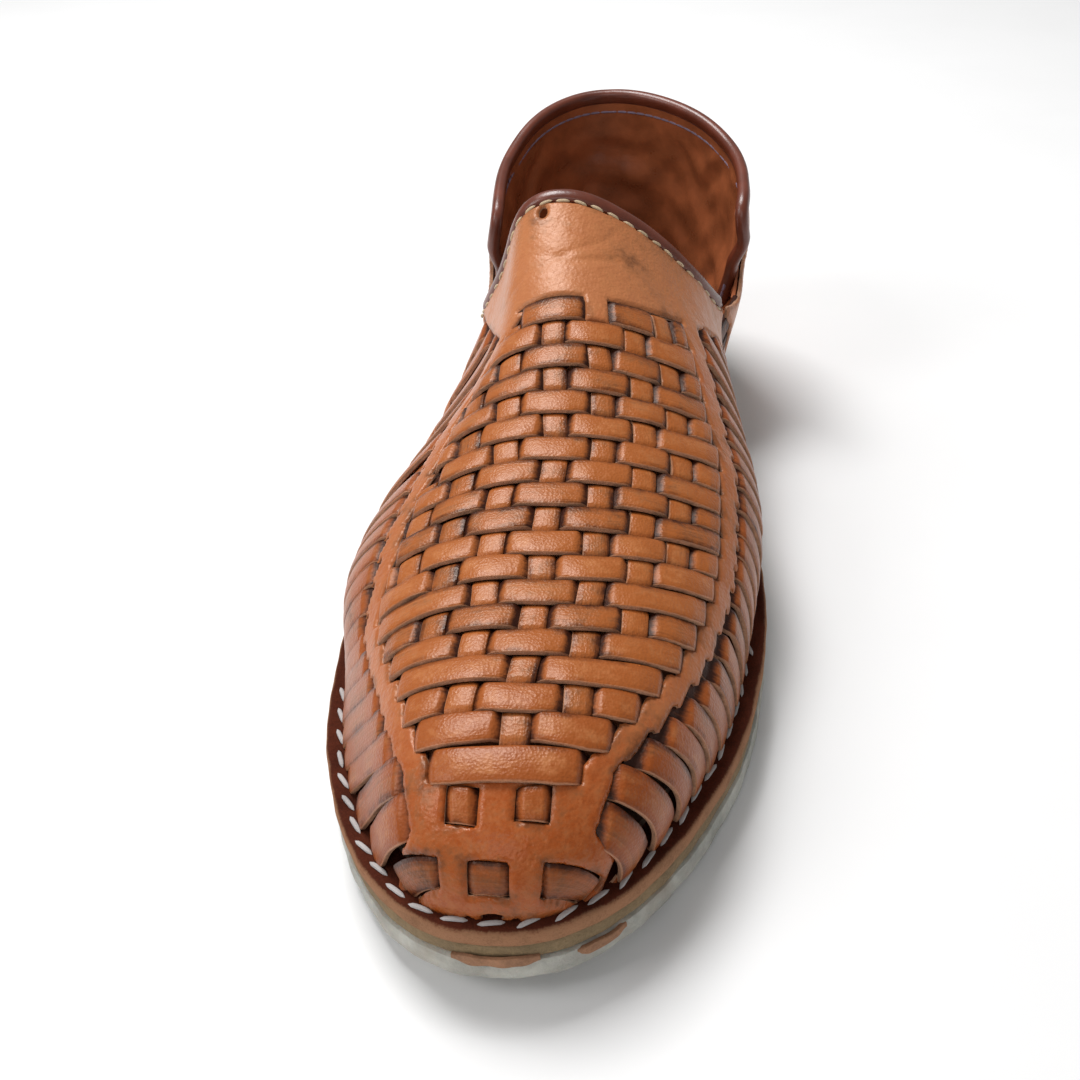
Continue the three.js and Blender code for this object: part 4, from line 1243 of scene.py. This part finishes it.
def throat_run(a):
    """Length along the throat's edge at arc a."""
    return np.interp(a, *throat_arcs())


def heel_path():
    """The heel binding's line from the outer wing's foot round the heel to the inner one: s, angle and height
    over the last, which falls to the inside where the line runs behind the strap."""
    line = spline(HEEL_ROLL, 900)
    line = line[line[:, 0] < UPPER_HEEL - 0.02]
    tip = line[:, 0] > 250
    s_tip = heelwards(250, 0.02, 300)
    z_tip = np.interp(s_tip, line[tip, 0], line[tip, 1])
    line = np.concatenate([line[~tip], np.stack([s_tip, z_tip], 1)])
    behind = -2.9 * (1 - smooth(line[:, 1], 51, 62))
    s, z = line.T
    outer, inner = (np.stack([s, side_angle(s, z, side), behind], 1) for side in SIDES)
    return np.concatenate([outer, inner[::-1]])


def path_points(place, count):
    """Evenly spaced points and normals of a path of (s, angle) on the last, raised by its height if given."""
    points, normals = last_point(place[:, 0], place[:, 1]), last_normal(place[:, 0], place[:, 1])
    if place.shape[1] > 2:
        points = points + normals * place[:, 2:]
    return even(points, count), unit(even(points, count, normals))


class HUARACHE_OT_bindings(bpy.types.Operator):
    """Rolls the bindings along the throat and the heel's top line"""

    bl_idname = "huarache.bindings"
    bl_label = "Bindings"

    def execute(self, context):
        sizes = trim_sizes()
        leather = roll_leather("rolled_leather", finishes().binding, 0.34)
        path, normal = path_points(throat_path(), 260)
        end = smooth(np.minimum(np.arange(260), np.arange(260)[::-1]), 0, 14)[:, None]
        half_width = sizes.throat_roll / MM / 2 * (0.5 + 0.5 * end)
        rings = roll(path - normal * 2.0 * (1 - end), normal, half_width, 1.75, -0.45)
        add_piece("throat_roll", [tube(rings)], [leather], ["throat_binding"], ROLL_CREASE)
        path, normal = path_points(heel_path(), 460)
        rings = roll(path, normal, sizes.heel_roll / MM / 2, 1.9, -0.75)
        add_piece("heel_roll", [tube(rings)], [leather], ["heel_binding"], ROLL_CREASE)
        return {"FINISHED"}


def sole_outline(count):
    """Loop round the sole: s and side, closer together at the rounded ends."""
    s = eased(0, LENGTH, count)
    return np.concatenate([s, s[::-1][1:-1]]), np.concatenate([np.ones(count), -np.ones(count - 2)])


def sole_layer(low, high, step, levels, wander, seed, bottom_lift=None):
    """A sole layer: a profile of (height share, inset) levels carried round the outline; the inset runs along
    the outline's inward normal and wanders a little, and both faces are closed across."""
    count = 240
    s, side = sole_outline(count)
    edge = np.stack([sole_middle(s) + side * sole_half(s), s - LENGTH / 2], 1)
    tangent = unit(np.roll(edge, -1, 0) - np.roll(edge, 1, 0))
    inward = np.stack([-tangent[:, 1], tangent[:, 0]], 1)
    along = np.cumsum(np.linalg.norm(edge - np.roll(edge, 1, 0), axis=1))
    lift = toe_lift(s)
    share = np.array([level[0] for level in levels])
    inset = np.array([level[1] for level in levels]) + step
    hand = wander * ripple(along, seed, 83, 37, 19, 9)
    depth = inset[None] + hand[:, None] * np.where(inset > 3, 0, 1)[None]
    rings = edge[:, None] + inward[:, None] * depth[..., None]
    under = np.zeros_like(s) if bottom_lift is None else bottom_lift(s)
    z = low + lift[:, None] + under[:, None] * (1 - share[None]) + (high - low) * share[None]
    points = np.concatenate([rings, z[..., None]], -1) + (SHIFT, 0, 0)
    n, m = points.shape[:2]
    i, j = np.meshgrid(np.arange(n), np.arange(m - 1), indexing="ij")
    k = (i + 1) % n
    quads = np.stack([i * m + j, i * m + j + 1, k * m + j + 1, k * m + j], -1).reshape(-1, 4)
    one = np.arange(count - 1)
    lat, med = one, (n - one) % n
    lat2, med2 = one + 1, (n - one - 1) % n
    lids = [np.stack([lat * m + r, lat2 * m + r, med2 * m + r, med * m + r], -1) for r in (0, m - 1)]
    quads = np.concatenate([quads, lids[0], lids[1][:, ::-1]])
    kinds = np.zeros(len(quads), int)
    return Shell(points.reshape(-1, 3), quads, kinds, {"inset": np.broadcast_to(inset, (n, m)).ravel()})


def waist_lift(s):
    """Hollow under the waist: a squared sine between ball and heel."""
    share = np.clip((s / LENGTH - WAIST["start"]) / WAIST["span"], 0, 1)
    return WAIST["lift"] * np.sin(np.pi * share) ** 2


class HUARACHE_OT_sole(bpy.types.Operator):
    """Builds tread, olive layer and welt with their cut edges, and finishes the insole"""

    bl_idname = "huarache.sole"
    bl_label = "Sole"

    def execute(self, context):
        colours, wander = finishes(), trim_sizes().edge_wander / MM
        tread = sole_layer(0, TREAD_TOP, 0, TREAD_EDGE, wander, SEED + 3, waist_lift)
        add_piece("tread", [tread], [crepe_rubber()], ["outsole"])
        layer = sole_layer(TREAD_TOP, OLIVE_TOP, 0.7, OLIVE_EDGE, wander * 0.7, SEED + 4)
        olive = fuzzy_layer("olive_cut", colours.olive, 0.62, 1.1, 0.8, 0.5)
        add_piece("olive_sheet", [layer], [olive], ["midsole"])
        welt = sole_layer(OLIVE_TOP, WELT_TOP, 0.2, WELT_EDGE, wander * 0.6, SEED + 5)
        add_piece("welt_layer", [welt], [welt_finish()], ["welt"])
        sock = fuzzy_layer("sock_suede", colours.sock, 0.75, 1.1, 0.9, 0.15)
        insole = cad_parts["insole"]
        insole.data.materials.clear()
        insole.data.materials.append(sock)
        return {"FINISHED"}


def capsules(centre, along, across, up, length, radius, flat=1.0):
    """Many short threads at once: each a capsule about its centre, rounded at its ends and bent upwards."""
    t = np.linspace(-1, 1, 7)
    turn = np.linspace(0, 2 * np.pi, 8, endpoint=False)
    size = np.sqrt(np.maximum(1 - np.abs(t) ** 3.5, 0.02))
    bend = 1 - t * t
    x = t * length / 2
    c, n = np.cos(turn), np.sin(turn)
    aside = radius * size[:, None] * c[None]
    rise = radius * flat * (size[:, None] * n[None] + 0.6 * bend[:, None] - 0.3)
    points = (centre[:, None, None] + along[:, None, None] * x[None, :, None, None]
              + across[:, None, None] * aside[None, ..., None] + up[:, None, None] * rise[None, ..., None])
    return [tube(p) for p in points]


class HUARACHE_OT_threads(bpy.types.Operator):
    """Sews the stitches of welt, throat and lining, and lays the thongs on the sole's front edge"""

    bl_idname = "huarache.threads"
    bl_label = "Threads"

    def execute(self, context):
        sizes, colours = trim_sizes(), finishes()
        s = eased(UPPER_TOE, UPPER_LENGTH, 600)
        middle, half = sole_middle(s) + SHIFT, feather_half(s)
        loop = np.concatenate([np.stack([middle + half, s - LENGTH / 2, WELT_TOP + toe_lift(s)], 1),
                               np.stack([middle - half, s - LENGTH / 2, WELT_TOP + toe_lift(s)], 1)[::-1]])
        length = np.linalg.norm(np.diff(loop, axis=0), axis=1).sum()
        count = int(length / (sizes.welt_stitch / MM))
        centre = even(loop, count + 1)[:-1]
        along = unit(np.roll(centre, -1, 0) - np.roll(centre, 1, 0))
        up = np.broadcast_to((0.0, 0.0, 1.0), along.shape)
        out = unit(np.cross(along, up))
        radius = sizes.thread / MM / 2
        rng = np.random.default_rng(SEED + 8)
        side = centre[:, :1] > 0
        away = 1.2 - 0.6 * side * smooth(centre[:, 1:2], -118, -95)
        centre = centre + out * (away + 0.15 * rng.standard_normal((count, 1)))
        along = unit(along + out * 0.12 * rng.standard_normal((count, 1)) - out * 0.18)
        centre[:, 2] = WELT_TOP + 0.35 + toe_lift(centre[:, 1] + LENGTH / 2)
        shells = capsules(centre, along, unit(np.cross(up, along)), up, 5.7, radius, 0.85)
        add_piece("welt_stitches", shells, [thread_finish("welt_thread", colours.thread)], [])
        self.throat_threads(colours)
        self.lining_threads(colours)
        self.thongs()
        return {"FINISHED"}

    def throat_threads(self, colours):
        """Stitches along the tab's scalloped edge, each between two scallops' notches."""
        length = throat_arcs()[1][-1]
        count = int(length / STITCH_PITCH)
        fine, normals = path_points(throat_path()[::-1], 1500)
        at = ((np.arange(count) + 0.5) * STITCH_PITCH / length * 1499).astype(int)
        path, normal = fine[at], normals[at]
        tangent = unit(np.gradient(fine, axis=0))[at]
        aside = unit(np.cross(tangent, normal))
        front = np.where(aside[:, 1:2] < 0, 1.0, -1.0) * aside
        rng = np.random.default_rng(SEED + 9)
        along = unit(tangent + front * 0.14 * rng.standard_normal((count, 1)))
        centre = path + front * 2.25 + normal * 0.62
        shells = capsules(centre, along, unit(np.cross(normal, along)), normal, 3.7, 0.42)
        finish = thread_finish("throat_thread", colours.cream)
        add_piece("throat_stitches", shells, [finish], [])

    def lining_threads(self, colours):
        """Running stitches on the lining, below the heel's binding."""
        path, normal = path_points(heel_path(), 78)
        tangent = unit(np.gradient(path, axis=0))
        aside = unit(np.cross(tangent, normal))
        down = np.where(aside[:, 2:3] < 0, 1.0, -1.0) * aside
        keep = path[:, 1] > 76
        centre = path + down * 4.6 - normal * 2.35
        shells = capsules(centre[keep], tangent[keep], down[keep], normal[keep], 3.2, 0.44)
        finish = thread_finish("lining_thread", colours.violet)
        add_piece("lining_stitches", shells, [finish], [])

    def thongs(self):
        """Two flat leather thongs on the sole's front edge, each run between two points of its outline."""
        s = eased(0, LENGTH, 4000)
        s, side = np.concatenate([s[::-1], s]), np.repeat((-1.0, 1.0), 4000)
        front = s < 40
        s, side = s[front], side[front]
        xy = np.stack([sole_middle(s) + side * sole_half(s) + SHIFT, s - LENGTH / 2], 1)
        out = unit(np.stack([np.gradient(xy[:, 1]), -np.gradient(xy[:, 0])], 1))
        shells = []
        for low, high, z, tone in ((-12.6, 4.6, 6.4, 0.3), (11.4, 20.6, 4.8, 0.6)):
            t = np.linspace(0, 1, 60)
            x = low + (high - low) * t
            y, ox, oy = (np.interp(x, xy[:, 0], v) for v in (xy[:, 1], out[:, 0], out[:, 1]))

            def place(at, u, h):
                base = [np.interp(at, t, v) for v in (x, y, ox, oy)]
                s = base[1] + LENGTH / 2
                return np.stack([base[0] + base[2] * h, base[1] + base[3] * h, z + u + toe_lift(s)], -1)

            end = smooth(np.abs(2 * t - 1), 0.55, 1.0)
            height = -0.1 - 0.5 * end + 0.12 * ripple(x, SEED + 80, 9, 5)
            half = (1.3 + 0.2 * ripple(x, SEED + 81, 11, 6)) * (1 - 0.45 * end)
            shells.append(strip(place, t, half, 0.8, height, tone))
        finish = fuzzy_layer("thong_leather", finishes().welt, 0.45, 0.95, 0.7, 0.3)
        add_piece("sole_thongs", shells, [finish], [])


class HUARACHE_OT_stage(bpy.types.Operator):
    """Sets floor, soft light and the camera"""

    bl_idname = "huarache.stage"
    bl_label = "Stage"

    # The photograph's camera: place in millimetres, angles in degrees
    EYE = (28.2, -279.1, 215.0)
    YAW, PITCH, ROLL = -8.2, 38.3, 5.1
    PHOTO_FOCUS = 1158.0
    PHOTO_MIDDLE = 540.0
    SHOE_AT = (283.0, 515.0)
    LENS = 41.0

    def execute(self, context):
        self.floor()
        self.lights()
        self.camera(context.scene)
        return {"FINISHED"}

    def floor(self):
        """A wide disc with a slightly uneven pale paint."""
        turn = np.linspace(0, 2 * np.pi, 96, endpoint=False)
        reach = np.array((0.001, 0.3, 0.8, 2.0, 6.0, 14.0))
        x, y = reach[:, None] * np.cos(turn), reach[:, None] * np.sin(turn)
        points = np.stack([x, y, np.zeros_like(x)], -1).reshape(-1, 3)
        mesh = bpy.data.meshes.new("floor")
        mesh.from_pydata(points.tolist(), [], ring_quads(len(reach), 96).tolist() + [list(range(96))])
        paint = Paint("floor")
        speck = paint.noise(60.0, 3.0)
        paint.done(base_color=paint.mix(speck, (0.86, 0.86, 0.86), (0.9, 0.9, 0.9)), roughness=0.8)
        mesh.materials.append(paint.material)
        floor = bpy.data.objects.new("floor", mesh)
        bpy.context.scene.collection.objects.link(floor)

    def lights(self):
        """A wide soft box overhead and behind, weaker ones at the side and in front, and a pale surround."""
        boxes = (("top_box", (-0.3, 0.4, 1.15), 0.5, 14.0), ("side_box", (-0.9, -0.4, 0.9), 0.5, 4.5),
                 ("front_box", (-0.1, -1.3, 0.9), 0.6, 2.5))
        for name, place, size, power in boxes:
            data = bpy.data.lights.new(name, "AREA")
            data.size, data.energy = size, power
            light = bpy.data.objects.new(name, data)
            light.location = place
            light.rotation_euler = (Vector((0, 0, 0.03)) - Vector(place)).to_track_quat("-Z", "Y").to_euler()
            bpy.context.scene.collection.objects.link(light)
        world = bpy.data.worlds.new("surround")
        world.use_nodes = True
        world.node_tree.nodes["Background"].inputs["Color"].default_value = (1, 1, 1, 1)
        world.node_tree.nodes["Background"].inputs["Strength"].default_value = 0.26
        bpy.context.scene.world = world
        bpy.context.scene.view_settings.view_transform = "Standard"

    def camera(self, scene):
        """The photograph's viewpoint and roll, turned so that the one shoe fills the frame: forward leans by
        yaw and pitch, and the turned axes follow the ray through the shoe's middle."""
        yaw, pitch, tilt = np.radians((self.YAW, self.PITCH, self.ROLL))
        right = np.array((np.cos(yaw), np.sin(yaw), 0))
        forward = np.array((-np.sin(yaw) * np.cos(pitch), np.cos(yaw) * np.cos(pitch), -np.sin(pitch)))
        up = np.array((-np.sin(yaw) * np.sin(pitch), np.cos(yaw) * np.sin(pitch), np.cos(pitch)))
        x_axis = np.cos(tilt) * right + np.sin(tilt) * up
        y_axis = np.cos(tilt) * up - np.sin(tilt) * right
        u, v = ((p - self.PHOTO_MIDDLE) / self.PHOTO_FOCUS for p in self.SHOE_AT)
        aim = unit(forward + u * x_axis - v * y_axis)
        x_axis = unit(x_axis - aim * (x_axis @ aim))
        y_axis = np.cross(-aim, x_axis)
        place = np.eye(4)
        place[:3, 0], place[:3, 1], place[:3, 2] = x_axis, y_axis, -aim
        place[:3, 3] = (np.array(self.EYE) + (SHIFT, 0, 0)) * MM
        data = bpy.data.cameras.new("camera")
        data.lens, data.sensor_width, data.clip_start = self.LENS, 36.0, 0.01
        camera = bpy.data.objects.new("camera", data)
        camera.matrix_world = Matrix(place.tolist())
        scene.collection.objects.link(camera)
        scene.camera = camera


OPERATORS = (
    HUARACHE_OT_sole, HUARACHE_OT_cross_strips, HUARACHE_OT_long_strips, HUARACHE_OT_vamp_frame,
    HUARACHE_OT_side_strips, HUARACHE_OT_counter, HUARACHE_OT_bindings, HUARACHE_OT_threads,
    HUARACHE_OT_stage,
)


class HUARACHE_PT_panel(bpy.types.Panel):
    """Lists the shoe's pieces, sizes and colours"""

    bl_label = "Huarache"
    bl_space_type = "VIEW_3D"
    bl_region_type = "UI"
    bl_category = "Huarache"

    def draw(self, context):
        for operator in OPERATORS:
            self.layout.operator(operator.bl_idname)
        for group in (weave_sizes(), trim_sizes(), finishes()):
            for name in group.__annotations__:
                self.layout.prop(group, name)


CLASSES = (WeaveSizes, TrimSizes, Finishes, *OPERATORS, HUARACHE_PT_panel)


def register():
    for cls in CLASSES:
        bpy.utils.register_class(cls)
    bpy.types.Scene.huarache_weave = bpy.props.PointerProperty(type=WeaveSizes)
    bpy.types.Scene.huarache_trim = bpy.props.PointerProperty(type=TrimSizes)
    bpy.types.Scene.huarache_finishes = bpy.props.PointerProperty(type=Finishes)


def unregister():
    del bpy.types.Scene.huarache_weave, bpy.types.Scene.huarache_trim, bpy.types.Scene.huarache_finishes
    for cls in reversed(CLASSES):
        bpy.utils.unregister_class(cls)


def main():
    register()
    for operator in OPERATORS:
        group, name = operator.bl_idname.split(".")
        getattr(getattr(bpy.ops, group), name)()


if __name__ == "__main__":
    main()
